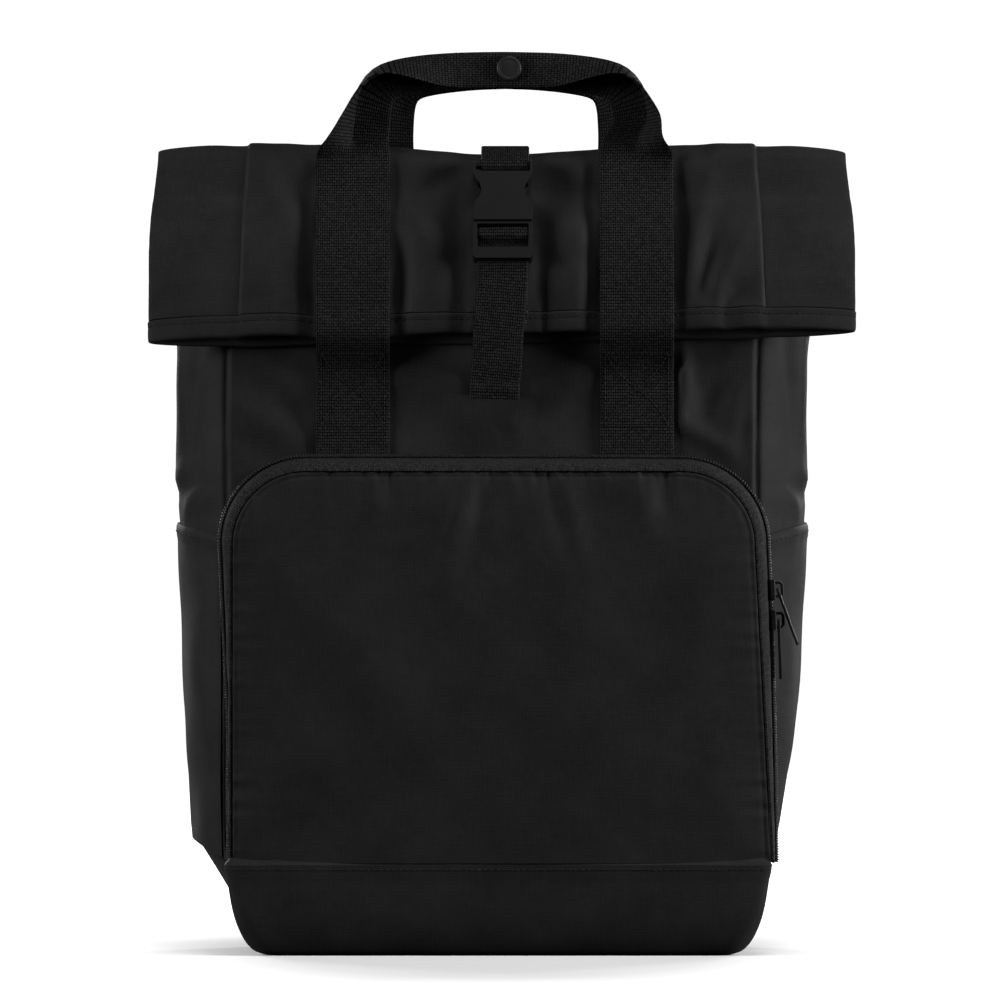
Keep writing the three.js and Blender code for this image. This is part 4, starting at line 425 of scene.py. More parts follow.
def tube(panel, t, run, inset=0.0):
    """Points on a panel at t and run (arrays of one shape), inset inwards from its outer face."""
    t, run = np.broadcast_arrays(np.asarray(t, float), np.asarray(run, float))
    row = {key: column(key, run) for key in ROWS}
    ay, az = (column(k, run + 0.5) - column(k, run - 0.5) for k in ("y", "z"))
    size = np.hypot(ay, az)
    ay, az = ay / size, az / size
    deep = row["deep"] * (1 - 0.42 * row["flap"] * leg_pinch(t * row["seam"]))
    if panel in ("front", "back"):
        side = 1 if panel == "back" else -1
        crown = row["crown"] * (1 - t * t) * (np.where(row["flap"] > 0, 0.3, 1) if side < 0 else 1)
        px, b = t * row["seam"], side * (deep + crown + folds_at(panel, t, run) - inset)
    else:
        side = 1 if panel == "right" else -1
        bulge = (row["wide"] - row["seam"] - inset) * (1 - np.abs(t) ** 2.2)
        px, b = side * (row["seam"] + bulge), (row["deep"] - inset) * t
    slide = row["flap"] * (-(INNER_LAYER_DROP / 2) * np.clip(b / row["deep"], -1, 1) - HEM_TILT / 2 * px
                           / row["wide"])
    z = row["z"] - ay * b + az * slide
    y = row["y"] + az * b + ay * slide
    if panel in ("left", "right"):
        z = z + SIDE_LIFT * (1 - t * t) * (1 - smooth(BASE_BAND, 2.6 * BASE_BAND, row["z"]))
    high = smooth(0.7 * BAG_HEIGHT, BAG_HEIGHT, z)
    corner = (np.abs(px) / (FLAP_WIDTH / 2)) ** 6 * np.where(px > 0, 0.9, 0.1)
    z = z - high * (CREST_DIP * bell(px, 0, CREST_DIP_REACH) + corner)
    return np.stack([px + row["lean"], y, z], -1)

def on_panel(panel, x, run, above=0.0):
    """Points above the front or back panel at a given x."""
    x, run = np.broadcast_arrays(np.asarray(x, float), np.asarray(run, float))
    t = (x - column("lean", run)) / column("seam", run)
    du = tube(panel, t + 1e-2, run) - tube(panel, t - 1e-2, run)
    dv = tube(panel, t, run + 0.5) - tube(panel, t, run - 0.5)
    out = unit(np.cross(du, dv)) * (-1 if panel == "back" else 1)
    return tube(panel, t, run) + out * np.asarray(above)[..., None]

def run_at(z, flap=False):
    """The run where the tube's middle line is at height z, on its way up or on its way down the flap."""
    runs = np.linspace(FOLD_RUN if flap else 0, MOUTH_RUN if flap else FOLD_RUN, 4000)
    heights = column("z", runs)
    return np.interp(z, heights[::-1], runs[::-1]) if flap else np.interp(z, heights, runs)

print("tube:", round(MOUTH_RUN), "mm from base seam to mouth, fold at", round(FOLD_RUN))

# %% Fine folds of each panel, in millimetres outwards
def seam_curl(t, half, flat):
    """How far a panel's edge curls in at the seams (t = -1 and 1, half millimetres from its middle). Two
    panels that meet curl in by the same amount, so that their edges touch all along the seam."""
    return (1.9 - 0.5 * flat) * np.exp(-(((1 - np.abs(t)) * half / 1.3) ** 2))

def puckers(t, half, along, seed, length=9.0, tall=0.45, reach=9.0):
    """Small gathers beside the seams, uneven along them."""
    near = np.exp(-(1 - np.abs(t)) * half / reach)
    wave = ripple(along / length + np.sign(t) * 3.3, along / (5 * length), seed)
    return tall * near * wave

# The flap's main folds. x, z: middle. turn: degrees from upright. long, thin: reach. tall: outward height.
FLAP_FOLDS = table("x z turn long thin tall",
    (-97, 350, 0, 36, 6, -2.6), (-116, 384, 32, 26, 8, 1.8), (-103, 393, 35, 20, 6, -1.4),
    (-122, 345, 10, 26, 10, 1.2), (-51, 347, -6, 26, 6, -3.0), (-41, 371, 62, 20, 11, 2.4),
    (-33, 344, 8, 20, 9, 1.8), (-20, 360, 0, 38, 7, -3.0), (-28, 398, -55, 18, 6, -1.5),
    (-36, 329, 4, 8, 3, -0.9), (33, 373, 68, 18, 9, 2.2), (25, 396, 60, 20, 9, -1.6),
    (49, 362, 2, 46, 5, -2.8), (21, 345, 0, 28, 5, -2.4), (38, 341, -20, 20, 7, 1.6),
    (91, 362, 0, 46, 5, -2.6), (100, 366, -14, 38, 5, 2.2), (107, 350, -13, 26, 4, -2.2),
    (116, 351, -31, 25, 5, 2.4), (121, 337, -46, 17, 4, -2.0), (128, 331, -62, 12, 4, 1.6),
    (-126, 400, 2, 14, 4, -1.2), (24, 326, 0, 6, 2.5, -0.8), (30, 327, 10, 6, 2.5, -0.7))
# The folds of the panel that shows below the flap.
FRONT_FOLDS = table("x z turn long thin tall",
    (-118, 270, 54, 26, 8, 2.6), (-111, 284, 58, 26, 6, -2.6), (-125, 258, 40, 14, 6, -1.2),
    (2, 267, 35, 12, 4, -0.9), (-31, 268, 10, 16, 8, -1.1), (30, 275, -20, 22, 8, 0.9),
    (95, 297, 8, 14, 4, 2.8), (91, 281, 0, 11, 4, 2.8), (99, 269, 62, 12, 4, 2.6),
    (114, 260, 58, 12, 4.5, 2.4), (109, 282, -20, 16, 8, -3.6), (115, 299, -50, 14, 7, 1.8),
    (127, 264, 0, 14, 5, -2.2), (122, 278, -12, 14, 4, 1.2))
GUSSET_FOLDS = table("x z turn long thin tall",
    (-14, 300, 4, 60, 7, 1.8), (-26, 290, 0, 50, 5, -2.2), (12, 262, -12, 34, 6, 1.2),
    (0, 236, 82, 20, 5, -1.5), (-16, 246, 60, 16, 5, 1.4), (16, 244, -58, 16, 5, 1.2),
    (4, 190, 6, 60, 12, 1.0), (-8, 120, -5, 50, 12, 0.8), (14, 356, -6, 28, 6, 1.1),
    (-24, 232, 40, 12, 4, 1.2))

def folds_from(rows, x, z):
    """The sum of a table's ridges at x and z."""
    total = 0.0
    for fx, fz, turn, long, thin, tall in zip(*rows.values()):
        total = total + tall * ridge(x, z, (fx, fz), turn, long, thin)
    return total

def strap_cover(x):
    """1 under the handle legs and the closing strap, 0 a few millimetres beside them."""
    legs = [1 - smooth(0, 5, np.abs(x - leg) - WEB_WIDTH / 2) for leg in (LEFT_LEG, RIGHT_LEG)]
    return np.maximum.reduce([*legs, 1 - smooth(0, 4, np.abs(x - 1.5) - 16)])

def legs_press(x, z):
    """The flap is pressed in beside the handle legs."""
    near = sum(bell(x, leg + side * 21, 5) for leg in (LEFT_LEG, RIGHT_LEG) for side in (-1, 1))
    return -1.2 * near * smooth(318, 335, z) * (1 - smooth(395, 412, z))

def hem_scallops(along, dist, seed):
    """Gathers above a stitched hem: along it, and dist millimetres away from it."""
    return 0.5 * np.exp(-np.abs(dist) / 7) * ripple(along / 8.5, along / 40, seed)

def fine(panel, t, run, p):
    """All the small shape of a panel at its plain points p."""
    x, y, z = p[..., 0], p[..., 1], p[..., 2]
    over = smooth(FOLD_RUN - 6, FOLD_RUN + 14, run)  # 1 on the hanging part
    flat = smooth(FOLD_RUN - 60, FOLD_RUN - 10, run)  # the flattened top has little room to fold
    if panel in ("front", "back"):
        half = column("seam", run)
        total = puckers(t, half, run, 11 if panel == "front" else 12)
        total = total + 0.35 * ripple(x / 60, run / 70, 21) + 0.12 * ripple(x / 17, run / 23, 22)
        if panel == "back":
            total = total + over * (folds_from(FLAP_FOLDS, x, z) + legs_press(x, z))
            total = total + over * hem_scallops(x, run - HEM_RUN, 31)
        else:
            total = total + (1 - over) * folds_from(FRONT_FOLDS, x, z)
        total = total - np.maximum(total, 0) * strap_cover(x)
        total = total * (1 - np.abs(t) ** 14) - seam_curl(t, half, flat)
    else:
        half = column("deep", run) + 4
        depth = t * half
        total = (1 - 0.7 * flat) * (folds_from(GUSSET_FOLDS, depth, z) + 0.3
                                    * ripple(depth / 40, run / 55, 23))
        total = total + puckers(t, half, run, 13, tall=0.4 * (1 - 0.6 * flat)) * (1 - np.abs(t) ** 14)
        total = total - seam_curl(t, half, flat)
    return total * smooth(0, 8, run)

print("small folds:", sum(len(rows["x"]) for rows in (FLAP_FOLDS, FRONT_FOLDS, GUSSET_FOLDS)))

# %% The four panels
def panel_runs(count=190):
    """Runs along a panel, closer together over the fold and on the flap."""
    way = np.linspace(0, 1, 4000)
    crowd = 1 + 1.6 * bell(way, FOLD_RUN / MOUTH_RUN, 0.1) + 0.5 * smooth(0.7, 0.8, way)
    share = np.cumsum(crowd) / crowd.sum()
    places = np.interp(np.linspace(share[0], 1, count), share, way)
    return GAP + places * (HEM_RUN - 2 * GAP)

def seam_places(count, edge, half=135):
    """Places across a panel, closer together at both seams. half: its half width in millimetres."""
    near = edge - np.array([4.4, 3.2, 2.3, 1.6, 1.1, 0.7, 0.3, 0]) / half
    return np.concatenate([-near[::-1], np.linspace(-1, 1, count - 14)[1:-1] * near[0], near])

def bag_panel(name, panel, across, replaces):
    """A panel of the tube: its plain points, moved outwards by its fine folds."""
    half = 40 if panel in ("left", "right") else 135
    t, run = np.meshgrid(seam_places(across, 1.0, half), panel_runs(), indexing="ij")
    plain = tube(panel, t, run)
    out = unit(plain - tube(panel, t, run, 1.0))
    lift = fine(panel, t, run, plain)
    outer = plain + out * lift[..., None]
    inner = tube(panel, t, run, CLOTH_THICK) + out * (lift + 0.2)[..., None]
    return wall(name, outer, inner, CLOTH, "shell_cloth", replaces=replaces)

bag_panel("front_panel_cloth", "front", 150, "front_panel")
bag_panel("back_panel_cloth", "back", 170, "back_panel")
bag_panel("gusset_left_cloth", "left", 60, "gusset_left")
bag_panel("gusset_right_cloth", "right", 60, "gusset_right")

# %% The hem round the mouth
def loop_places(front, side):
    """Places round the tube: front panel, right gusset, back panel, left gusset, as (panel, t)."""
    return [(panel, np.linspace(first, -first, count, endpoint=False)) for panel, first, count in (
        ("front", -1, front), ("right", -1, side), ("back", 1, front), ("left", 1, side))]

def hem_band(lifts, runs):
    """A ring of cloth round the mouth: lifts outwards at the given runs, wavy like the cloth above it."""
    rows = []
    for panel, t in loop_places(130, 44):
        t, run = np.meshgrid(t, runs, indexing="ij")
        plain = tube(panel, t, run)
        out = unit(plain - tube(panel, t, run, 1.0))
        above = np.full_like(run, HEM_RUN - 1)
        wave = fine(panel, t, above, tube(panel, t, above))
        rows.append(plain + out * (lifts + wave * 0.8 * (1 if panel != "front" else 0.3))[..., None])
    return np.concatenate(rows)

hem_share = np.array([0, 0.02, 0.06, 0.14, 0.24, 0.3, 0.4, 0.6, 0.8, 0.93, 0.98, 1.0])
# dips at its stitches
hem_round = np.array([-0.6, 0.15, 0.42, 0.5, 0.36, 0.22, 0.42, 0.5, 0.5, 0.35, 0.05, -0.5])
hem_runs = HEM_RUN + 0.1 + hem_share * (HEM_HEIGHT - 0.1)
hem_outer = hem_band(hem_round, hem_runs)
hem_inner = hem_band(-CLOTH_THICK - 0.3 - 0.5 * hem_round, hem_runs)
wall("mouth_hem_cloth", hem_outer, hem_inner, CLOTH, "shell_cloth", closed=True, replaces="mouth_hem")

# %% [markdown]
# ## Base, slip pockets and front pocket
#
# The base tray closes the tube below. A slip pocket follows each gusset a little outside it. The front pocket
# is a face, a zip tape that leans outwards, the coil, a side wall back to the bag, and a lower panel that
# meets the tray.

# %% Base tray
BASE = table("level wide seam deep lean",
    (1, 1, 1, 1, 1), (0.62, 0.915, 0.98, 0.985, 0.8), (0.28, 0.85, 0.93, 0.95, 0.5),
    (0.07, 0.8, 0.88, 0.9, 0.3), (0, 0.77, 0.85, 0.82, 0.2))

def base_points(inset):
    """The tray's grid: round the bag, and from the base seam down to the floor and in to its middle."""
    step = np.concatenate([np.linspace(0, 4, 29), np.linspace(4, 5, 12)[1:]])
    row = {k: through(np.arange(5.0), BASE[k], np.minimum(step, 4)) for k in BASE}
    inward = np.clip(5 - step, 0, 1)
    level = np.clip(row["level"], 0, 1) * (step < 4)
    grids = []
    for panel, t in loop_places(70, 40):
        t = t[:, None]
        deep, wide, seam = (ROWS[key][0] * row[key] for key in ("deep", "wide", "seam"))
        if panel in ("front", "back"):
            side = 1 if panel == "back" else -1
            x, b = t * seam, side * (deep + ROWS["crown"][0] * level * (1 - t * t) - inset)
            lift = 0 * t * level
        else:
            side = 1 if panel == "right" else -1
            x, b = side * (seam + (wide - seam - inset) * (1 - np.abs(t) ** 2.2)), (deep - inset) * t
            lift = SIDE_LIFT * (1 - t ** 2) * level
        rim = np.where(step == 0, GAP / 2, 0)
        floor = np.where(step >= 4, inset, inset * 0.5 * (1 - level))
        z = level * ROWS["z"][0] + lift - rim + floor
        dent = 0.5 * ripple(x / 40, z / 30, 41) * level * (1 - level) * 3
        grids.append(np.stack([x * inward + ROWS["lean"][0] * row["lean"],
                               (b + np.sign(b) * dent) * inward + ROWS["y"][0],
                               z + 0 * x], -1))
    return np.concatenate(grids)

wall("base_cloth", base_points(0.0), base_points(CLOTH_THICK), CLOTH, "shell_cloth", closed=True,
     replaces="base_tray")

# %% Slip pockets
SIDE_POCKET_TOP, SIDE_POCKET_DIP, SIDE_POCKET_CLEAR = 221.0, 7.0, 0.9
SIDE_HALF = 43  # millimetres from a gusset's middle to its seam

def side_pocket_points(panel, extra, count=46, rows=100):
    """A slip pocket's grid over its gusset: extra is 1 for its outer face and 0 for its inner one."""
    t, share = np.meshgrid(seam_places(count, 0.93), np.linspace(0, 1, rows), indexing="ij")
    top = run_at(SIDE_POCKET_TOP)
    run = GAP * 2 + (top - SIDE_POCKET_DIP * t * t - GAP * 2) * share
    hem = HEM_EXTRA * smooth(1 - 8 / top, 1 - 7 / top, share) - 0.35 * bell(share, 1 - 6.4 / top, 1.0 / top)
    away = (SIDE_POCKET_CLEAR * (1 - t ** 4) + extra * (CLOTH_THICK + hem) + GAP)
    drop = (1 - share) * top
    pull = hem_scallops(t * SIDE_HALF, drop - 7, 51 if panel == "left" else 52) * 0.9
    body = 0.5 * ripple(t * SIDE_HALF / 34, drop / 60, 53) + 0.9 * ridge(t * SIDE_HALF, drop, (8, 60), 6, 60,
            9)
    lift = (pull + body) * (1 - np.abs(t) ** 8) * smooth(0, 0.06, share) * (1 if extra else 0.35)
    rounding = extra * (0.9 * np.exp(-(1 - share) * top / 0.8) + 0.8
                        * np.exp(-((0.93 - np.abs(t)) * SIDE_HALF / 1.4) ** 2))
    plain = tube(panel, t, run)
    out = unit(plain - tube(panel, t, run, 1.0))
    return plain + out * (away + lift * smooth(0.3, 0.9, away) - rounding)[..., None]

for hand in ("left", "right"):
    wall(f"side_pocket_{hand}_cloth", side_pocket_points(hand, 1), side_pocket_points(hand, 0), CLOTH,
         "shell_cloth",
         replaces=f"side_pocket_{hand}")

# %% The front pocket's outline
POCKET_TOP, POCKET_WIDTH, POCKET_SPREAD, POCKET_CORNER = 247.5, 272.0, 3.9, 38.0
POCKET_DEPTH, POCKET_CROWN, ZIP_TAPE, COIL_RADIUS, TAPE_THICK = 33.0, 7.0, 12.5, 1.7, 1.0
POCKET_BACK_Y = ROWS["y"][0] - ROWS["deep"][0]
POCKET_EDGE_Y = POCKET_BACK_Y - POCKET_DEPTH
POCKET_LEFT = -POCKET_WIDTH / 2 - 1.1
TAPE_FRONT_Y = POCKET_EDGE_Y + 1.6

def bend_line(a, b, c, d, count=200):
    """Points on the cubic Bezier curve of four points."""
    t = np.linspace(0, 1, count, endpoint=False)[:, None]
    return (1 - t) ** 3 * a + 3 * (1 - t) ** 2 * t * b + 3 * (1 - t) * t * t * c + t ** 3 * d

def pocket_outline():
    """Up the left side, round two corners and down the right side, as dense (x, z) points."""
    top, c, low, k = POCKET_TOP, POCKET_CORNER, BASE_BAND + GAP, 0.45
    left, right = POCKET_LEFT, POCKET_LEFT + POCKET_WIDTH
    shoulder, foot = right - POCKET_SPREAD * 1.1, right + POCKET_SPREAD
    line = lambda a, b: np.array(a) + np.linspace(0, 1, 300, endpoint=False)[:, None] * (np.array(b) - a)
    return np.concatenate([
        line((left, low), (left, top - c)),
        bend_line(*np.array([(left, top - c), (left, top - c * k), (left + c * k, top), (left + c, top)])),
        line((left + c, top), (right - c - POCKET_SPREAD, top)),
        bend_line(*np.array([(right - c - POCKET_SPREAD, top), (shoulder - c * k, top),
                             (shoulder, top - c * k),
                             (shoulder, top - c)])),
        line((shoulder, top - c), (foot, low)), [(foot, low)]])

OUTLINE = pocket_outline()
OUTLINE_RUN = np.concatenate([[0], np.cumsum(np.linalg.norm(np.diff(OUTLINE, axis=0), axis=1))])
OUTLINE_LONG = OUTLINE_RUN[-1]
print("pocket outline:", round(OUTLINE_LONG), "mm")

def around(share, spread, y):
    """Points at shares of the outline, moved outwards in its plane by spread, at the depth y."""
    run = np.asarray(share) * OUTLINE_LONG
    at = np.stack([np.interp(run, OUTLINE_RUN, OUTLINE[:, i]) for i in (0, 1)], -1)
    ahead = np.stack([np.interp(run + 0.8, OUTLINE_RUN, OUTLINE[:, i]) for i in (0, 1)], -1)
    behind = np.stack([np.interp(run - 0.8, OUTLINE_RUN, OUTLINE[:, i]) for i in (0, 1)], -1)
    d = unit(ahead - behind)
    x, z, y = np.broadcast_arrays(at[..., 0] - d[..., 1] * spread, at[..., 1] + d[..., 0] * spread, y)
    return np.stack([x, y, z], -1)

# How far the tape leans outwards by the coil, at shares of the outline.
LEAN_PLACE = np.array([0, 0.11, 0.2, 0.3, 0.5, 0.7, 0.86, 1])
LEAN_SPREAD = np.array([1, 1.4, 4, 6.6, 7, 6.4, 5, 2.2])

def tape_spread(share):
    """How far outside the pocket's outline the coil runs."""
    return through(LEAN_PLACE, LEAN_SPREAD, share)

def coil_y(share):
    """The coil's depth: the tape's width is the long side of a right triangle whose short side is its
    spread."""
    return POCKET_EDGE_Y + np.sqrt(ZIP_TAPE ** 2 - tape_spread(share) ** 2)

# %% The pocket's face
FACE_BUMPS = table("side rise across along height",
    (-0.14, 0.9, 0.09, 0.14, 0.16), (0.16, 0.92, 0.09, 0.12, 0.14), (0.36, 0.88, 0.1, 0.14, -0.1),
    (0.55, 0.88, 0.09, 0.14, 0.12))
FACE_FOLDS = table("x z turn long thin tall",
    (-19, 232, -22, 18, 5, 1.4), (-25.5, 208, -6, 20, 7, 1.1), (-9.5, 226, -14, 20, 5, -1.3),
    (7.6, 236, 4, 10, 5, 0.8), (36, 226, 16, 24, 6, 1.4), (29, 230, 14, 20, 4.5, -1.3),
    (73.5, 233, 4, 14, 6, 1.3), (84, 236, 2, 12, 5, -1.0), (-64, 234, -3, 14, 6, 1.1),
    (-56, 238, 2, 10, 4, -0.7), (-108, 190, 30, 40, 12, 0.9), (104, 170, -20, 50, 12, 0.8),
    (-60, 120, 8, 60, 22, 1.1), (40, 110, -12, 60, 24, 1.1), (110, 90, 20, 34, 12, 0.8),
    (0, 160, 70, 60, 24, -0.8))
SEAM_TUCKS = np.array([-86.5, -68.7, -62, -55.5, -4.6, 3, 10.7, 19.3, 25.2, 33.6, 44.3, 73.3, 79, 85.0])

def outline_gap(x, z):
    """How far points of the face lie inside its outline."""
    nearest = np.full(x.shape, 1e9)
    for px, pz in OUTLINE[::6]:
        nearest = np.minimum(nearest, (x - px) ** 2 + (z - pz) ** 2)
    return np.sqrt(nearest)

def face_grid(across=190, up=170):
    """A grid whose rows are level lines, closer together round the top corners."""
    corner = POCKET_TOP - 0.8 - POCKET_CORNER
    turn = np.linspace(0, 1, 46)[1:]
    z = np.concatenate([np.linspace(BASE_BAND + GAP, corner, up - 45),
                        corner + POCKET_CORNER * np.sin(turn * np.pi / 2)])
    edge = around(np.linspace(0, 1, 4001), -0.8, 0.0)
    half = 2000
    left = np.interp(z, edge[:half, 2], edge[:half, 0])
    right = np.interp(z, edge[half:, 2][::-1], edge[half:, 0][::-1])
    side = seam_places(across, 1.0)[:, None]
    return (left + right) / 2 + side * (right - left) / 2, np.broadcast_to(z, (across, len(z)))

def face_height(x, z):
    """How far the face stands before its edge: a broad crown, folds, and gathers below its seam."""
    side = np.clip((x - POCKET_LEFT - POCKET_WIDTH / 2) / (POCKET_WIDTH / 2), -1, 1)
    rise = np.clip((z - BASE_BAND) / (POCKET_TOP - BASE_BAND), 0, 1)
    crown = (1 - np.abs(side) ** 3) * (1 - rise ** 4)
    bump = sum(tall * bell(side, s, a) * bell(rise, r, u) for s, r, a, u, tall in zip(*FACE_BUMPS.values()))
    inside = outline_gap(x, z)
    height = POCKET_CROWN * (crown * (0.75 + 0.25 * rise) + bump * smooth(0, 12, inside))
    deep = POCKET_TOP - z
    tuck = bell(x[..., None], SEAM_TUCKS + 0.1 * (deep[..., None] - 6), 1.6 + 0.12 * deep[..., None]).sum(-1)
    height = height - 0.9 * tuck * np.exp(-deep / 9) * smooth(0, 2, deep)
    foot = np.maximum(z - BASE_BAND, 0)
    along = np.where(z > POCKET_TOP - 25, x, z)
    gather = 0.5 * np.exp(-inside / 8) * ripple(along / 9, along / 50, 61)
    small = 0.3 * ripple(x / 75, z / 90, 62) + 0.04 * ripple(x / 24, z / 30, 63)
    soft = smooth(0, 5, inside)
    height = height + (folds_from(FACE_FOLDS, x, z) + small) * soft + gather * smooth(0, 1.5, inside)
    roll = 2.0 * (1 - np.sqrt(1 - (1 - np.clip(inside / 2.0, 0, 1)) ** 2)) * (foot > 4)
    return height - 1.3 * roll - 0.35 * bell(inside, 3.2, 0.8) * (foot > 4)

face_x, face_z = face_grid()
face_y = POCKET_EDGE_Y - face_height(face_x, face_z)
face_outer = np.stack([face_x, face_y, face_z], -1)
wall("pocket_face_cloth", face_outer, face_outer + [0, CLOTH_THICK, 0], CLOTH, "shell_cloth",
     replaces="pocket_face")

# %% Zip tape, coil and the pocket's gusset
zip_share = np.linspace(0, 1, 420)

def ring(k, lift):
    """A line round the pocket on the tape: k is 0 at the face and 1 at the coil."""
    spread = 0.6 + (tape_spread(zip_share) - 0.6) * k
    y = TAPE_FRONT_Y + 0.6 + (coil_y(zip_share) - COIL_RADIUS - GAP - TAPE_FRONT_Y - 0.6) * k
    bow = np.sin(np.pi * np.clip(k, 0, 1))
    wave = 0.3 * ripple(zip_share * OUTLINE_LONG / 26, k / 2, 71) * bow
    return around(zip_share, spread + 0.4 - 1.1 * k + lift + wave + 0.6 * bow, y - 1.3 * bow)

tape_rows = np.linspace(-0.04, 1, 9)
tape_outer = np.stack([ring(k, 0.0) for k in tape_rows], 1)
tape_inner = np.stack([ring(k, -TAPE_THICK) for k in tape_rows], 1)
wall("zip_tape_twill", tape_outer, tape_inner, TWILL, "zip_tape", replaces="zip_tape")

def tube_along(path, normal, radius_out, radius_side, turns, sides=6, wire=0.42, steps=14):
    """A wire wound in an oval helix round a path, for the coil's teeth. All arrays are (n, 3) or numbers."""
    n = turns * steps
    share = np.linspace(0, 1, n)
    pick = lambda a: np.stack([np.interp(share, np.linspace(0, 1, len(a)), a[:, i]) for i in range(3)], -1)
    middle, out = pick(path), unit(pick(normal))
    ahead = unit(np.gradient(middle, axis=0))
    side = np.cross(ahead, out)
    angle = 2 * np.pi * turns * share
    line = middle + out * (radius_out * np.cos(angle))[:, None] + side * (radius_side * np.sin(angle))[:,
            None]
    along = unit(np.gradient(line, axis=0))
    first = unit(np.cross(along, ahead))
    second = np.cross(along, first)
    around_wire = np.linspace(0, 2 * np.pi, sides, endpoint=False)
    ring_points = (line[:, None] + wire * (first[:, None] * np.cos(around_wire)[None, :, None]
                                           + second[:, None] * np.sin(around_wire)[None, :, None]))
    return ring_points

def tube_faces(n, sides, start=0):
    """The faces of a tube of n rings, whose points are numbered from start."""
    i, k = np.meshgrid(np.arange(n - 1), np.arange(sides), indexing="ij")
    j = (k + 1) % sides
    return quads(i * sides + k, i * sides + j, (i + 1) * sides + j, (i + 1) * sides + k) + start

coil_path = around(zip_share, tape_spread(zip_share) + 0.1, coil_y(zip_share) - 0.4)
coil_out = unit(around(zip_share, tape_spread(zip_share) + 1, coil_y(zip_share)) - coil_path)
TEETH = int(OUTLINE_LONG / 1.35)
teeth = tube_along(coil_path, coil_out, 1.2, 1.3, TEETH)
core_side = np.cross(unit(np.gradient(coil_path, axis=0)), coil_out)
core_turn = np.linspace(0, 2 * np.pi, 8, endpoint=False)
core = coil_path[:, None] + 0.85 * (coil_out[:, None] * np.cos(core_turn)[:, None] + core_side[:, None]
                                     * np.sin(core_turn)[:, None])
coil_points = np.concatenate([teeth.reshape(-1, 3), core.reshape(-1, 3)])
coil_faces = np.concatenate([tube_faces(len(teeth), 6), tube_faces(len(core), 8, teeth.size // 3)])

def caps(start, n, sides):
    """The two end faces of a tube, each a fan of triangles over its end ring."""
    ends = []
    for first, order in ((start, -1), (start + (n - 1) * sides, 1)):
        ids = first + np.arange(sides)[::order]
        ends += [[ids[0], ids[i], ids[i + 1], ids[i + 1]] for i in range(1, sides - 1)]
    return ends

def mesh_piece(name, points, faces, material, slot, **more):
    """A piece whose faces may have three or four corners; a repeated corner makes a triangle."""
    faces = [list(dict.fromkeys(map(int, f))) for f in faces]
    return new_piece(name, points, faces, np.asarray(points)[:, [0, 2]], material, slot, **more)

coil_faces = list(coil_faces) + caps(0, len(teeth), 6) + caps(teeth.size // 3, len(core), 8)
mesh_piece("zip_coil_teeth", coil_points, coil_faces, COIL, "zip_coil", replaces="zip_coil", sharp=60)

def gusset_ring(k, lift):
    """A line round the pocket's side wall: k is 0 at the coil, 1 at the bag, and below 0 tucked in behind
    the coil."""
    tuck, k = smooth(0, -0.05, k), max(k, 0.0)
    spread = tape_spread(zip_share) + (1.5 - tape_spread(zip_share)) * k ** 1.5 - 3.2 * tuck
    y = coil_y(zip_share) + COIL_RADIUS + GAP - 3.6 * tuck
    y = y + (POCKET_BACK_Y - y) * k
    along = zip_share * OUTLINE_LONG
    wave = 0.6 * ripple(along / 10, k / 3, 72) * np.exp(-k * 3.5) * smooth(0, 0.1, k)
    wave = wave + 0.5 * ripple(along / 36, k / 2, 73) * np.sin(np.pi * k)
    p = around(zip_share, spread + lift + wave, y)
    t = np.clip((p[:, 0] - ROWS["lean"][0]) / (PANEL_WIDTH / 2), -0.99, 0.99)
    front = tube("front", t, run_at(np.maximum(p[:, 2], ROWS["z"][0])))[:, 1]
    meet = np.minimum(front, POCKET_BACK_Y + 8) - GAP
    p[:, 1] += (meet - POCKET_BACK_Y) * smooth(0.8, 1.0, k)
    return p

gusset_rows = np.concatenate([[-0.05, -0.03, -0.015], np.linspace(0, 1, 14)])
wall("pocket_gusset_cloth", np.stack([gusset_ring(k, 0.0) for k in gusset_rows], 1),
     np.stack([gusset_ring(k, -CLOTH_THICK) for k in gusset_rows], 1), CLOTH, "shell_cloth",
     replaces="pocket_gusset")

# %% The pocket's lower panel
FOOT_LEVEL = np.array([1, 0.5, 0.22, 0.06, 0])
FOOT_HALF = np.array([0.513, 0.499, 0.482, 0.461, 0.435]) * POCKET_WIDTH
FOOT_FRONT = np.array([1, 1.03, 1, 0.93, 0.84]) * POCKET_DEPTH
FOOT_MIDDLE, TRAY_FRONT = -0.9, ROWS["y"][0] - ROWS["deep"][0] - 2.2

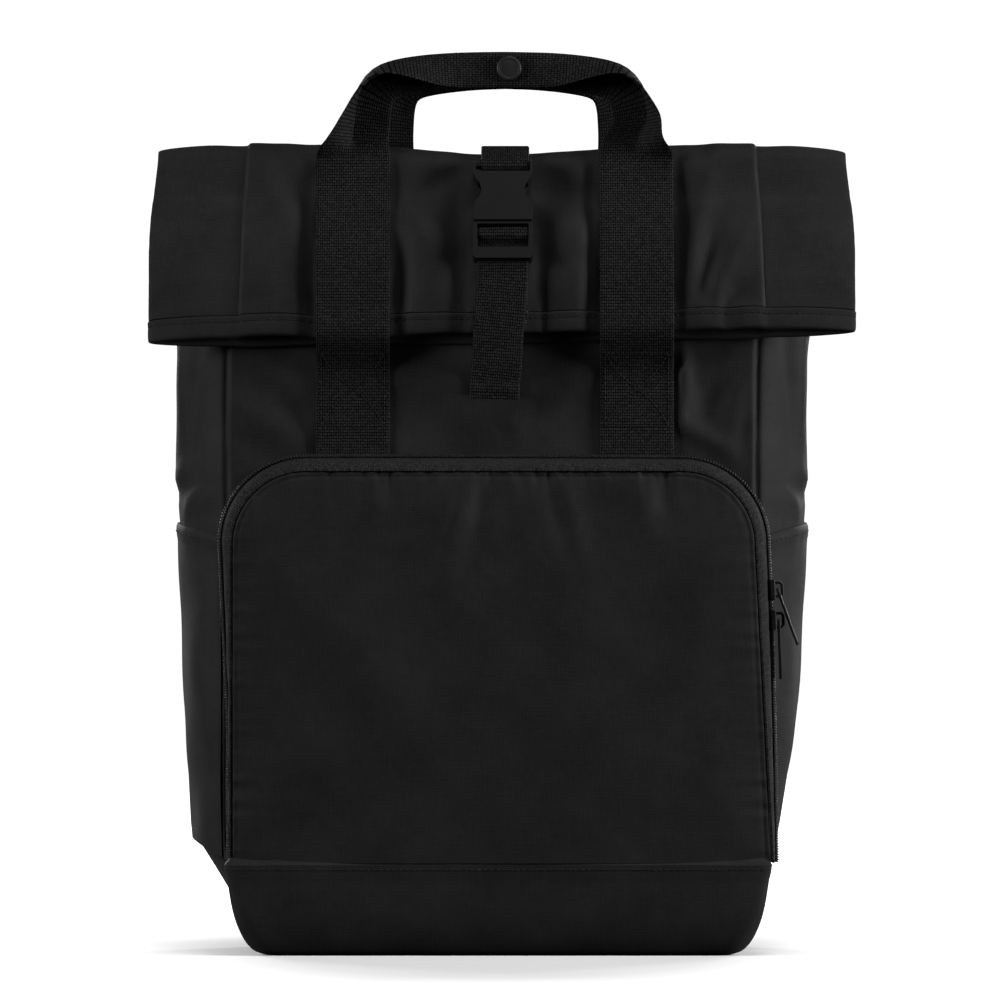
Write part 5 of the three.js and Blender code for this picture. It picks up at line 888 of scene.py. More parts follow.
def foot_points(inset):
    """Rows run along one side, round a corner, across the front and back along the other side. Columns go
    down from the seam and then under. The sides end at the tray, which leans back towards the floor."""
    step = np.concatenate([[-0.1, -0.04, 0, 0.02, 0.05, 0.1], np.linspace(0.2, 4, 32),
                           np.linspace(4, 5, 8)[1:]])
    place = np.clip(step, 0, 4)
    tucked = smooth(0, -0.1, step)  # the seam allowance stands up behind the panel above
    level, half, front = (through(np.arange(5.0), v, place) for v in (FOOT_LEVEL, FOOT_HALF, FOOT_FRONT))
    under = np.clip(step - 4, 0, 1)
    r = 9.0 * (0.35 + 0.65 * smooth(0, 2.2, step))
    turn = np.linspace(0, np.pi / 2, 12)[1:-1]
    rows = []
    def row(x, y):
        y = y + (tray - y) * under
        z = level * BASE_BAND - GAP * (step <= 0) + 3.5 * tucked + inset * smooth(3.2, 4, step)
        rows.append(np.stack([FOOT_MIDDLE + x, y, z], -1))
    h, f = half - inset - 2.6 * tucked, front - inset - 2.6 * tucked
    tray = TRAY_FRONT + ROWS["deep"][0] * (1 - np.interp(level, BASE["level"][::-1], BASE["deep"][::-1]))
    def flank(hand):
        side = [(hand * h, (TRAY_FRONT - f + r) * k + tray * (1 - k)) for k in np.linspace(0, 1, 10)]
        return side + [(hand * (h - r + r * np.cos(a)), TRAY_FRONT - (f - r + r * np.sin(a))) for a in turn]
    for x, y in flank(-1):
        row(x, y)
    for s in np.linspace(-1, 1, 150):
        x = s * (h - r)
        crown = 2.5 * level * (1 - (x / h) ** 4)
        gather = np.exp(-(1 - level) * BASE_BAND / 7) * ripple(x / 9, x / 60, 82) * smooth(0, 0.1, step)
        fold = 0.35 * ripple(x / 40, level * 0.8, 81) + 0.35 * gather
        row(x, TRAY_FRONT - f - crown - fold * (1 - np.abs(s) ** 8) * smooth(0, 0.6, step))
    for x, y in flank(1)[::-1]:
        row(x, y)
    return np.stack(rows)

def edge_band(points, inner, dist_run, lift=0.55, high=5.0):
    """Lifts the folded strip along a panel's seam: dist_run is the distance from the seam."""
    out = unit(points - inner)
    shape = lift * smooth(0, 0.6, dist_run) * (1 - smooth(high, high + 0.8, dist_run)) - 0.4 * bell(dist_run,
            3.0, 0.6)
    return points + out * shape[..., None]

foot_outer, foot_inner = foot_points(0.0), foot_points(CLOTH_THICK)
foot_drop = (BASE_BAND - foot_outer[..., 2])
foot_outer = edge_band(foot_outer, foot_inner, foot_drop)
wall("pocket_base_cloth", foot_outer, foot_inner, CLOTH, "shell_cloth", replaces="pocket_base_panel")

# %% [markdown]
# ## Webbing
#
# A strap is a flat band carried along a path: its outline across has rounded edges, and its thickness may
# grow where an end is folded over.

# %% A band along a path
def dense(stations, count):
    """Smooth columns through stations {name: values}, at even steps of the path's length."""
    keys = list(stations)
    values = {k: np.asarray(stations[k], float) for k in keys}
    run = np.concatenate([[0],
                          np.cumsum(np.sqrt(sum(np.diff(values[k]) ** 2 for k in ("x", "y", "z"))) + 1e-6)])
    at = np.linspace(0, run[-1], count)
    return {k: through(run, values[k], at) for k in keys}, at

def band_places(half=11):
    """Places across a band from -1 to 1, closer together at its edges."""
    s = np.linspace(-1, 1, 2 * half + 1)
    return np.sign(s) * (0.55 * np.abs(s) + 0.45 * (1 - (1 - np.abs(s)) ** 3))

def band(name, stations, width, thick, count=240, wobble=0.0, seed=1, replaces=()):
    """Webbing whose width lies along X, through stations with x, y and z, and perhaps a thickness share
    `fat`."""
    rows, run = dense(stations, count)
    path = np.stack([rows[k] for k in "xyz"], -1)
    along = unit(np.gradient(path, axis=0))
    across = np.array([1.0, 0, 0]) - along * along[:, :1]
    out = unit(np.cross(unit(across), along))
    s = band_places()
    edge = np.sqrt(np.clip(1 - ((np.abs(s) - 0.94).clip(0) / 0.06) ** 2, 0.02, 1))
    fat = rows.get("fat", np.ones(count))[:, None]
    bow = wobble * ripple(run / 30, run / 80, seed)[:, None] * s
    cup = 0.25 * (s ** 2 - 0.5) * wobble
    base = path[:, None] + unit(across)[:, None] * (s * width / 2)[None, :, None] + out[:,
            None] * (bow + cup)[..., None]
    depth = out[:, None] * (thick / 2 * edge * fat)[..., None]
    return wall(name, base + depth, base - depth, NARROW_WEB, "webbing", run=run, replaces=replaces)

def stations(points, **more):
    """A band's path as columns."""
    points = np.array(points, float)
    return dict(x=points[:, 0], y=points[:, 1], z=points[:, 2], **more)

# %% Where straps lie on the bag
HANDLE_RISE, GRIP_RISE, HANDLE_STANDOFF, FOLD_RADIUS = 48.5, 0.578, 4.2, 1.9
HANDLE_CREST_Y = -0.04 * BODY_DEPTH

def flap_front(x, run, width):
    """The frontmost y of the hanging flap across a strap's width, and the height there."""
    rows = np.stack([on_panel("back", x + k * width, run) for k in (-0.5, -0.25, 0, 0.25, 0.5)])
    return rows[..., 1].min(0), rows[2][..., 2]

def body_front(x, z, width):
    """The frontmost y of the front panel across a strap's width."""
    return np.stack([on_panel("front", x + k * width, run_at(z))[..., 1] for k in (-0.5, 0, 0.5)]).min(0)

# %% The carry handles
TURN = table("within rise face fold away",
    (-0.02, 0.0, 2, 46, 2.3), (0, 0.22, 8, 74, 1.75), (0.02, 0.37, 22, 90, 1.4), (0.06, 0.45, 54, 102, 1.2),
    (0.16, 0.49, 75, 116, 1.08), (0.45, 0.532, 84, 138, 1), (0.8, 0.561, 87, 164, 1),
    (1.1, 0.573, 90, 176, 1))

def handle(name, left, right, grip, front, lay_left, lay_right, replaces):
    """One length of webbing, flat on the bag and folded in half along the grip: a bend whose turn grows
    along it."""
    rows = []
    for x, hand, lay in ((left, -1, lay_left), (right, 1, lay_right)):
        start = x - hand * WEB_WIDTH / 2
        leg = [(start, y, z, 0, 0) for y, z in lay]
        middle, inner = grip
        for w, rise, face, fold, away in zip(*TURN.values()):
            px = (middle + hand * inner if rise else start) - hand * w * WEB_WIDTH
            leg.append((px, HANDLE_CREST_Y + front * HANDLE_STANDOFF * away, BAG_HEIGHT + rise * HANDLE_RISE,
                        face, fold))
        if hand > 0:
            leg = [(px, y, z, 180 - face, fold) for px, y, z, face, fold in leg][::-1]
        else:
            leg.append((grip[0], HANDLE_CREST_Y + front * HANDLE_STANDOFF,
                        BAG_HEIGHT + GRIP_RISE * HANDLE_RISE, 90, 178))
        rows += leg
    rows = np.array(rows, float)
    st, run = dense(dict(x=rows[:, 0], y=rows[:, 1], z=rows[:, 2], face=rows[:, 3], fold=rows[:, 4]), 330)
    s = (band_places(12) + 1) / 2 * WEB_WIDTH
    turn, face = np.radians(np.clip(st["fold"], 0, 180))[:, None], np.radians(st["face"])
    across = np.stack([-np.cos(face), 0 * face, np.sin(face)], -1)[:, None]
    forth = np.array([0.0, front, 0])
    straight_end = WEB_WIDTH / 2 - FOLD_RADIUS * turn / 2
    bent = np.clip((s - straight_end) / FOLD_RADIUS, 0, turn)
    beyond = np.maximum(s - straight_end - FOLD_RADIUS * turn, 0)
    share = np.abs(s / WEB_WIDTH * 2 - 1)
    edge = np.sqrt(np.clip(1 - ((share - 0.95).clip(0) / 0.05) ** 2, 0.02, 1))
    slack = 0.35 * ripple(run / 34, run / 90, 91 + int(front))[:, None] * (share - 0.3) * smooth(0, 40,
            run)[:, None]
    def surface(lift):
        a = np.minimum(s, straight_end) + FOLD_RADIUS * np.sin(bent)
        a = a + beyond * np.cos(turn) + lift * np.sin(bent)
        f = FOLD_RADIUS * (1 - np.cos(bent)) + beyond * np.sin(turn) - lift * np.cos(bent)
        base = np.stack([st["x"], st["y"], st["z"]], -1)[:, None]
        return base + across * a[..., None] + forth * f[..., None]
    gone = (bent > 0.2) | (turn > 1.0)
    half = WEB_THICK / 2 * edge
    shift = np.where(gone, 0.25 * slack, slack * 0.5)
    return wall(name, surface(half + shift), surface(-half + shift), WEB, "webbing", run=run,
                replaces=replaces)

def front_leg(x):
    """(y, z) up a front leg, from above the pocket over the flap to the fold."""
    off = WEB_THICK / 2 + GAP
    lay = [(body_front(x, z, WEB_WIDTH) - off, z) for z in (POCKET_TOP + 4.6, 268, 284, 300)]
    for run in np.linspace(MOUTH_RUN + 1, RUN[FOLD_ROW + 2], 7):
        y, z = flap_front(x, min(run, MOUTH_RUN), WEB_WIDTH)
        lay.append((y - off - (HEM_EXTRA + 0.3 if run > HEM_RUN else 0.3), z))
    return lay

def rear_leg(x):
    """(y, z) up a rear leg on the back panel."""
    lay = []
    for z in (336, 352, 368, 384, 396, 404):
        p = np.stack([on_panel("back", x + k * WEB_WIDTH, run_at(z), WEB_THICK / 2 + GAP + 0.2)
                      for k in (-0.5, 0, 0.5)])
        lay.append((p[:, 1].max(), p[1, 2]))
    return lay

handle("front_handle_webbing", LEFT_LEG, RIGHT_LEG, (0.5, 57), -1, front_leg(LEFT_LEG), front_leg(RIGHT_LEG),
       "front_handle")
handle("rear_handle_webbing", -63, 69, (3, 47.5), 1, rear_leg(-63), rear_leg(69), "rear_handle")

# %% [markdown]
# The closing strap comes over the fold and loops round the socket's bar. Its lower half goes through the
# prongs' frame, and its tail hangs down in front.

# %% The closing strap and its buckle's place
CLOSURE_WIDTH, CLOSURE_THICK, CLOSURE_X = 25.4, 1.5, 1.5
BUCKLE_WIDTH, BUCKLE_LENGTH, BUCKLE_THICK = 32.0, 61.0, 8.4

def buckle_place():
    """The buckle's up and outward directions and its middle: it lies just clear of the flap."""
    foot = on_panel("back", CLOSURE_X, run_at(352, True))
    top = on_panel("back", CLOSURE_X, run_at(406.5, True))
    up = unit(np.array([0, top[1] - foot[1], top[2] - foot[2]]))
    out = np.cross([1, 0, 0], up)
    x, z = np.meshgrid([-BUCKLE_WIDTH / 2, 0, BUCKLE_WIDTH / 2], np.linspace(349, 404.5, 15))
    reach = ((on_panel("back", CLOSURE_X + x, run_at(z, True)) - foot) @ out).max()
    return up, out, (foot + top) / 2 + out * (reach + BUCKLE_THICK / 2 + 0.6)

BUCKLE_UP, BUCKLE_OUT, BUCKLE_MIDDLE = buckle_place()
TOP_SHIFT, TOP_BAR, SOCKET_TOP = 1.2, 3.3, 0.465 * BUCKLE_LENGTH
FRAME_TOP, FRAME_FOOT = -0.11 * BUCKLE_LENGTH, -0.46 * BUCKLE_LENGTH
BAR_TOP, BAR_FOOT = FRAME_TOP - 4.6, FRAME_TOP - 7.8
LAYER, LIFT = CLOSURE_THICK + 0.4, CLOSURE_THICK / 2 + GAP + 0.25

def in_buckle(y, z, x=CLOSURE_X):
    """A point by its height and its distance outwards in the buckle's own frame."""
    p = BUCKLE_MIDDLE + BUCKLE_UP * y + BUCKLE_OUT * z
    return (x, p[1], p[2])

def on_top(run, above, x=CLOSURE_X + TOP_SHIFT):
    """A point above the highest cloth across the strap's width."""
    p = np.stack([on_panel("back", x + k * CLOSURE_WIDTH, run, above) for k in (-0.5, 0, 0.5)])
    behind = p[1, 2] > 300 and run < FOLD_RUN
    return (x, p[:, 1].max() if behind else p[:, 1].min(), p[:, 2].max())

def mix(a, b, k):
    """From a at k = 0 to b at k = 1."""
    return a + (b - a) * k

loop_radius = TOP_BAR / 2 + GAP + CLOSURE_THICK / 2 + 0.25
loop = [in_buckle(SOCKET_TOP - TOP_BAR / 2 + loop_radius * np.sin(a), -loop_radius * np.cos(a),
                  CLOSURE_X + TOP_SHIFT)
        for a in np.radians([0, -45, -90, -135, -180, -222])]
upper = [on_top(mix(FOLD_RUN, RUN[FOLD_ROW + 1], 0.2), LIFT + 0.6),
         on_top(mix(FOLD_RUN, RUN[FOLD_ROW + 2], 0.72), LIFT + 0.5),
         *loop, on_top(mix(FOLD_RUN, RUN[FOLD_ROW + 2], 0.9), LIFT + LAYER + 0.5),
         on_top(mix(FOLD_RUN, RUN[FOLD_ROW + 1], 0.7), LIFT + LAYER),
         on_top(mix(FOLD_RUN, RUN[FOLD_ROW + 1], 0.1), LIFT + LAYER),
         on_top(mix(FOLD_RUN, RUN[FOLD_ROW - 1], 0.5), LIFT + LAYER * 0.6),
         on_top(RUN[FOLD_ROW - 1], LIFT + 0.3),
         on_top(RUN[FOLD_ROW - 2], LIFT + 0.3), *[on_top(run_at(z), LIFT) for z in (396, 384, 372)]]
band("closure_strap_upper_webbing", stations(upper), CLOSURE_WIDTH - 0.6, CLOSURE_THICK, 260,
     replaces="closure_strap_upper")

def front_at(z):
    """A point of the strap on the front panel."""
    return (CLOSURE_X, body_front(CLOSURE_X, z, CLOSURE_WIDTH) - LIFT, z)

def flap_at(z, above, x=CLOSURE_X):
    """A point of the strap above the flap."""
    return (x, *on_top(run_at(z, True), above, CLOSURE_X)[1:])

hem_front = flap_at(318, LIFT + HEM_EXTRA)
aside = lambda p, by: (p[0] - by, p[1], p[2])
lower = [aside(front_at(286.5), 4.6), aside(front_at(296), 4.0),
         (CLOSURE_X - 3.4, mix(front_at(304)[1], hem_front[1], 0.5), 304),
         (CLOSURE_X - 2.8, hem_front[1], 312), aside(hem_front, 2.2), flap_at(326, LIFT + HEM_EXTRA),
         flap_at(336, LIFT), flap_at(345, LIFT),
         in_buckle(FRAME_FOOT + 1, -3.4), in_buckle(BAR_FOOT, -3.4), in_buckle(BAR_TOP, -2.9),
         in_buckle(BAR_TOP + 1.4, -1.2),
         in_buckle(BAR_TOP + 1.4, 0.9), in_buckle(BAR_TOP + 0.2, 2.2),
         in_buckle((BAR_TOP + BAR_FOOT) / 2, 2.45),
         in_buckle(BAR_FOOT - 0.2, 2.2), in_buckle(BAR_FOOT - 1.5, 0.9), in_buckle(BAR_FOOT - 2.4, -0.6),
         in_buckle(BAR_FOOT - 4.6, -1.42), in_buckle(FRAME_FOOT + 1, -1.42),
         flap_at(345, LIFT + LAYER + 0.3), flap_at(336, LIFT + LAYER + 0.3, CLOSURE_X - 0.6),
         flap_at(326, LIFT + LAYER + 0.3 + HEM_EXTRA, CLOSURE_X - 1.2),
         (CLOSURE_X - 2, hem_front[1] - LAYER - 0.3, hem_front[2]),
         (CLOSURE_X - 3.2, hem_front[1] - LAYER - 0.6, 301),
         (CLOSURE_X - 4.0, hem_front[1] - LAYER - 0.5, 292.5),
         (CLOSURE_X - 4.1, hem_front[1] - LAYER - 0.6, 290.5),
         (CLOSURE_X - 4.3, hem_front[1] - LAYER - 0.3, 284)]
fat = np.ones(len(lower))
fat[-2:] = 1.75
band("closure_strap_lower_webbing", stations(lower, fat=fat), CLOSURE_WIDTH, CLOSURE_THICK, 420, wobble=0.3,
     seed=5,
     replaces="closure_strap_lower")

# %% [markdown]
# ## Hard pieces
#
# The buckle, the adjusters, the sliders and their pulls keep the shape of their solids. Each is copied, its
# loose triangles are joined, and a small bevel rounds its edges so that they catch the light as moulded edges
# do.

# %% Copies with soft edges
def rounded(node, material, body=ROOT, width=0.35):
    """A copy of a solid in its place, with a bevel of the given width in millimetres on its edges."""
    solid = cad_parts[node]
    mesh = solid.data.copy()
    work = bmesh.new()
    work.from_mesh(mesh)
    bmesh.ops.remove_doubles(work, verts=work.verts, dist=2e-6)
    bmesh.ops.dissolve_limit(work, angle_limit=np.radians(1.0), verts=work.verts, edges=work.edges)
    work.to_mesh(mesh)
    work.free()
    mesh.materials.clear()
    mesh.materials.append(material)
    mesh.polygons.foreach_set("use_smooth", np.ones(len(mesh.polygons), bool))
    mesh.set_sharp_from_angle(angle=np.radians(50))
    piece = bpy.data.objects.new(node + "_moulded", mesh)
    bpy.context.scene.collection.objects.link(piece)
    bevel = piece.modifiers.new("edges", "BEVEL")
    bevel.width, bevel.segments = width * MM, 2
    bevel.limit_method, bevel.angle_limit = "ANGLE", np.radians(28)
    bevel.harden_normals = True
    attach(piece, body)
    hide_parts(node)
    return piece

rounded("buckle_socket", PLASTIC)
rounded("buckle_prongs", PLASTIC)
for hand in ("left", "right"):
    rounded(f"adjuster_{hand}", PLASTIC)
for place in ("upper", "lower"):
    rounded(f"slider_{place}", ENAMEL, width=0.3)
    rounded(f"pull_{place}", ENAMEL, body=f"{place}_pull", width=0.3)
rounded("stud_post", STUD)

# %% The stud's cap
STUD_RADIUS, STUD_X = 6.4, 4.7
STUD_Z = BAG_HEIGHT + GRIP_RISE * HANDLE_RISE + WEB_WIDTH * 0.265
GRIP_FRONT_Y = HANDLE_CREST_Y - HANDLE_STANDOFF - 2 * FOLD_RADIUS - WEB_THICK / 2
# r: share of the radius. out: millimetres before the webbing.
cap_r = np.array([0, 0.2, 0.4, 0.56, 0.66, 0.7, 0.74, 0.8, 0.88, 0.95, 0.99, 1.0, 0.99, 0.9, 0.5, 0])
cap_out = np.array([1.75, 1.75, 1.72, 1.66, 1.6, 1.5, 1.62, 1.85, 1.85, 1.6, 1.15, 0.7, 0.25, 0.05, 0, 0])
turn = np.linspace(0, 2 * np.pi, 72, endpoint=False)[:, None]
cap = np.stack([STUD_X + STUD_RADIUS * cap_r * np.cos(turn), GRIP_FRONT_Y - GAP - 0.6 - cap_out - 0 * turn,
                STUD_Z + STUD_RADIUS * cap_r * np.sin(turn)], -1)
cap_points = np.concatenate([cap[:, 1:-1].reshape(-1, 3), cap[0, [0]], cap[0, [-1]]])
n, rings = len(turn), len(cap_r) - 2
i, j = np.meshgrid(np.arange(n), np.arange(rings - 1), indexing="ij")
k = (i + 1) % n
cap_faces = list(quads(i * rings + j, i * rings + j + 1, k * rings + j + 1, k * rings + j))
i = np.arange(n)
k = (i + 1) % n
cap_faces += [[n * rings, a * rings, b * rings, b * rings] for a, b in zip(i, k)]
cap_faces += [[n * rings + 1, b * rings + rings - 1, a * rings + rings - 1, a * rings + rings - 1] for a,
              b in zip(i, k)]
mesh_piece("stud_cap_domed", cap_points, cap_faces, STUD, "stud", replaces="stud_cap", sharp=60)

# %% [markdown]
# ## Shoulder straps
#
# Each pad is foam between two layers of cloth: thick in the middle, pressed thin along its stitched edge.

# %% Pads
PAD_TOP, PAD_LENGTH, PAD_WIDTH, PAD_THICK, PAD_REACH, PAD_WEB = 328.0, 226.0, 58.0, 11.0, 88.0, 25.4
PAD = table("drop side away wide thick",
    (0, 0.46, -0.006, 0.86, 0.4), (0.06, 0.47, 0.045, 0.92, 0.85), (0.2, 0.53, 0.19, 1, 1),
    (0.38, 0.63, 0.27, 1, 1), (0.56, 0.74, 0.27, 0.97, 1), (0.74, 0.86, 0.22, 0.88, 1),
    (0.9, 0.96, 0.16, 0.72, 1), (0.97, 0.99, 0.14, 0.56, 0.85), (1, 1, 0.13, 0.44, 0.5))

def pad_base(z):
    """The back panel's rearmost y at height z, under a pad."""
    return np.stack([tube("back", t, run_at(z))[..., 1] for t in (0.2, 0.45, 0.7)]).max(0)

def pad_surface(hand, drops, angles):
    """Round the pad at each drop: the corner of a cushion, whose rim is pressed to a thin stitched edge."""
    z = PAD_TOP - drops * PAD_LENGTH
    col = {k: through(PAD["drop"], PAD[k], drops) for k in PAD}
    near = (pad_base(z) + GAP + col["away"] * PAD_REACH)[:, None]
    thick, wide = (col["thick"] * PAD_THICK)[:, None], (col["wide"] * PAD_WIDTH)[:, None]
    c, s = np.cos(angles), np.sin(angles)
    across = np.sign(c) * np.abs(c) ** 0.75
    edge = 1 - np.abs(across)
    plump = 0.3 + 0.7 * smooth(0, 0.3, edge)
    puff = np.sign(s) * np.abs(s) ** 0.5 * plump
    gathers = 0.35 * ripple(drops * PAD_LENGTH / 9, drops * 3, 95)[:,
            None] * np.exp(-edge / 0.16) * smooth(0, 0.05, edge)
    y = near + thick / 2 + puff * thick / 2 + np.sign(s) * gathers
    x = hand * (col["side"] * PAD_REACH)[:, None] + across * wide / 2 + 0.3 * hand * puff
    return np.stack([x, y, np.broadcast_to(z[:, None], x.shape)], -1)

def closed_tube(name, rings, material, slot, **more):
    """A closed piece from rings of points (n, sides, 3), with its two ends filled."""
    n, sides = rings.shape[:2]
    faces = tube_faces(n, sides)
    flat = rings.reshape(-1, 3)
    if signed_volume(flat, faces) < 0:
        faces = faces[:, ::-1]
    turned = signed_volume(flat, tube_faces(n, sides)) < 0
    ends = [e[::-1] if turned else e for e in caps(0, n, sides)]
    u = np.cumsum(np.linalg.norm(np.diff(rings, axis=1, append=rings[:, :1]), axis=-1), 1)
    steps = np.linalg.norm(np.diff(rings.mean(1), axis=0), axis=1)
    v = np.broadcast_to(np.cumsum(np.concatenate([[0], steps]))[:, None], u.shape)
    uv = np.stack([u, v], -1).reshape(-1, 2)
    faces = [list(dict.fromkeys(map(int, face))) for face in list(faces) + ends]
    return new_piece(name, flat, faces, uv, material, slot, **more)

pad_angles = np.linspace(0, 2 * np.pi, 96, endpoint=False)
pad_drops = np.concatenate([[0, 0.002, 0.006], np.linspace(0.012, 0.985, 150), [0.992, 0.997, 1]])
for hand, side in ((-1, "left"), (1, "right")):
    pad = closed_tube(f"shoulder_pad_{side}_cloth", pad_surface(hand, pad_drops, pad_angles), PAD_CLOTH,
                      "strap_pad",
                      replaces=f"shoulder_pad_{side}")

# %% Adjuster straps
ADJUST_LENGTH, ADJUST_TILT = 24.0, 0.2
PAD_FOOT = PAD_TOP - PAD_LENGTH
PAD_FOOT_Y = float(pad_base(PAD_FOOT)) + GAP + 0.13 * PAD_REACH + PAD_THICK / 4
ADJ_BAR_TOP, ADJ_BAR_FOOT = ADJUST_LENGTH / 2 - 8.2, ADJUST_LENGTH / 2 - 11.4

def in_adjuster(hand, y, z, slant=0.0):
    """A point by its height and its distance outwards in an adjuster's own frame."""
    up, out = unit(np.array([0, ADJUST_TILT, 1.0])), unit(np.array([0, 1.0, -ADJUST_TILT]))
    top = np.array([hand * (PAD_REACH + 1.5), PAD_FOOT_Y - 0.6, PAD_FOOT - 4.5])
    p = top - up * ADJUST_LENGTH / 2 + up * y + out * z
    return (p[0] + hand * slant, p[1], p[2])

def anchor(hand, z, slant):
    """A point of a lower strap on the back panel."""
    x = hand * (PAD_REACH + 1.5 + slant)
    across = [on_panel("back", x + k * PAD_WEB, run_at(z))[..., 1] for k in (-0.5, 0, 0.5)]
    return (x, np.stack(across).max() + LIFT, z)

half = ADJUST_LENGTH / 2
for hand, side in ((-1, "left"), (1, "right")):
    at = lambda y, z, slant=0.0: in_adjuster(hand, y, z, slant)
    path = [anchor(hand, BASE_BAND + 5, 22), anchor(hand, BASE_BAND + 17, 18), at(-half - 4, -3.4, 4),
            at(-half + 1, -3.2, 1),
            at(ADJ_BAR_FOOT, -3.2), at(ADJ_BAR_TOP, -2.9), at(ADJ_BAR_TOP + 1.3, -1.2),
            at(ADJ_BAR_TOP + 1.3, 0.9),
            at(ADJ_BAR_TOP + 0.2, 2.2), at((ADJ_BAR_TOP + ADJ_BAR_FOOT) / 2, 2.45),
            at(ADJ_BAR_FOOT - 0.2, 2.2),
            at(ADJ_BAR_FOOT - 1.5, 0.9), at(ADJ_BAR_FOOT - 2.4, -0.6), at(ADJ_BAR_FOOT - 4.6, -1.42),
            at(-half + 1, -1.42),
            at(-half - 1.5, -1.3), at(-half - 7, 0.4), at(-half - 22, 3.6), at(-half - 40, 5.2)]
    band(f"lower_webbing_{side}_webbing", stations(path), PAD_WEB, CLOSURE_THICK, 300,
         replaces=f"lower_webbing_{side}")
    ring_path = [at(half + 3.2, 2.64), *[at(half - 0.95 - 2.805 * np.sin(a), 3.3 * np.cos(a))
                                        for a in np.radians([0, 45, 90, 135, 180])], at(half + 3.2, -2.64)]
    band(f"pad_loop_{side}_webbing", stations(ring_path), PAD_WEB * 0.9, 1.3, 60, replaces=f"pad_loop_{side}")

# %% [markdown]
# ## Stitching
#
# The mouth's hem, the front pocket's lower panel and the hems of the slip pockets each have a row of lock
# stitches: short, fat pieces of thread that dip into the cloth at both ends. A row is worked out from the
# line that it follows on the surface, and all stitches of a row are one mesh.

# %% Stitch rows
STITCH_SIDES = 6
STITCH_RINGS = np.array([0.0, 0.12, 0.35, 0.65, 0.88, 1.0])
STITCH_FAT = np.array([0.25, 0.8, 1.0, 1.0, 0.8, 0.25])

def stitches(name, line, out, long=2.6, pitch=3.3, fat=0.3, sink=0.1, slot="shell_cloth"):
    """Stitches along a line (n, 3) with the outward direction at each point, both in millimetres."""
    run = np.concatenate([[0], np.cumsum(np.linalg.norm(np.diff(line, axis=0), axis=1))])
    count = max(int(run[-1] / pitch), 1)
    starts = (np.arange(count) + 0.5) * run[-1] / count - long / 2
    at = starts[:, None] + long * STITCH_RINGS
    pick = lambda a: np.stack([np.interp(at, run, a[:, i]) for i in range(3)], -1)
    middle, up = pick(line), unit(pick(out))
    ahead = unit(middle[:, -1:] - middle[:, :1])
    side = np.cross(np.broadcast_to(ahead, up.shape), up)
    middle = middle + up * ((STITCH_FAT - 1) * fat * 1.2 + fat - sink)[None, :, None]
    turn = np.linspace(0, 2 * np.pi, STITCH_SIDES, endpoint=False)
    ring_points = middle[:, :, None] + fat * STITCH_FAT[None, :, None, None] * (
        side[:, :, None] * np.cos(turn)[None, None, :, None] * 1.15 + up[:, :, None]
        * np.sin(turn)[None, None, :, None])
    near_end, far_end = [[0, 1, 2, 3], [0, 3, 4, 5]], np.array([[0, 3, 2, 1], [0, 5, 4, 3]])
    one = np.concatenate([tube_faces(len(STITCH_RINGS), STITCH_SIDES), near_end,
                          far_end + STITCH_SIDES * (len(STITCH_RINGS) - 1)])
    each = len(STITCH_RINGS) * STITCH_SIDES
    faces = (one[None] + (np.arange(count) * each)[:, None, None]).reshape(-1, 4)
    points = ring_points.reshape(-1, 3)
    if signed_volume(points, faces) < 0:
        faces = faces[:, ::-1]
    return new_piece(name, points, faces, points[:, [0, 2]], THREAD, slot, sharp=180)

def on_grid(grid, inner, u, v):
    """Points and outward directions at fractional grid places."""
    u, v = np.broadcast_arrays(np.asarray(u, float), np.asarray(v, float))
    iu, iv = np.clip(u.astype(int), 0, grid.shape[0] - 2), np.clip(v.astype(int), 0, grid.shape[1] - 2)
    fu, fv = (u - iu)[..., None], (v - iv)[..., None]
    between = lambda g, column: g[iu, column] * (1 - fu) + g[iu + 1, column] * fu
    pick = lambda g: between(g, iv) * (1 - fv) + between(g, iv + 1) * fv
    p = pick(grid)
    return p, unit(p - pick(inner))

hem_closed = np.concatenate([hem_outer, hem_outer[:1]]), np.concatenate([hem_inner, hem_inner[:1]])
places = np.linspace(0, len(hem_outer), 1200)
stitches("stitches_hem", *on_grid(*hem_closed, places, 5.0))
foot_u = np.linspace(0.5, len(foot_outer) - 1.5, 700)
band_row = float(np.interp(3.0, foot_drop[len(foot_drop) // 2, :30], np.arange(30)))
stitches("stitches_base_panel", *on_grid(foot_outer, foot_inner, foot_u, band_row))
for hand in ("left", "right"):
    outer, inner = side_pocket_points(hand, 1), side_pocket_points(hand, 0)
    u = np.linspace(1.5, len(outer) - 2.5, 300)
    stitches(f"stitches_side_pocket_{hand}",
             *on_grid(outer, inner, u, outer.shape[1] * (1 - 6.0 / run_at(SIDE_POCKET_TOP))))

# %% [markdown]
# Each front leg is sewn down by a stitched rectangle with a cross in it. The tail's end is folded and
# stitched across.

# %% Boxes with a cross on the straps
def box_and_cross(name, grid, inner, u_span, v_span):
    """A rectangle and its diagonals as one row of stitches on a strap's grid."""
    (u0, u1), (v0, v1) = u_span, v_span
    corners = [(u0, v0), (u0, v1), (u1, v1), (u1, v0), (u0, v0), (u1, v1), (u1, v0), (u0, v1)]
    for part, (a, b) in enumerate(zip(corners[:-1], corners[1:])):
        if a[0] == b[0] and part > 4:
            continue  # this side of the rectangle is sewn already
        k = np.linspace(0, 1, 60)
        line, out = on_grid(grid, inner, a[0] + (b[0] - a[0]) * k, a[1] + (b[1] - a[1]) * k)
        stitches(f"{name}_{part}", line, out, long=2.0, pitch=2.5, fat=0.22, sink=0.02, slot="webbing")

def face_of(name):
    """The two grids of a strap made by wall, outer side first, in millimetres."""
    rows = walls[name]
    return rows if rows[0][..., 1].mean() < rows[1][..., 1].mean() else rows[::-1]

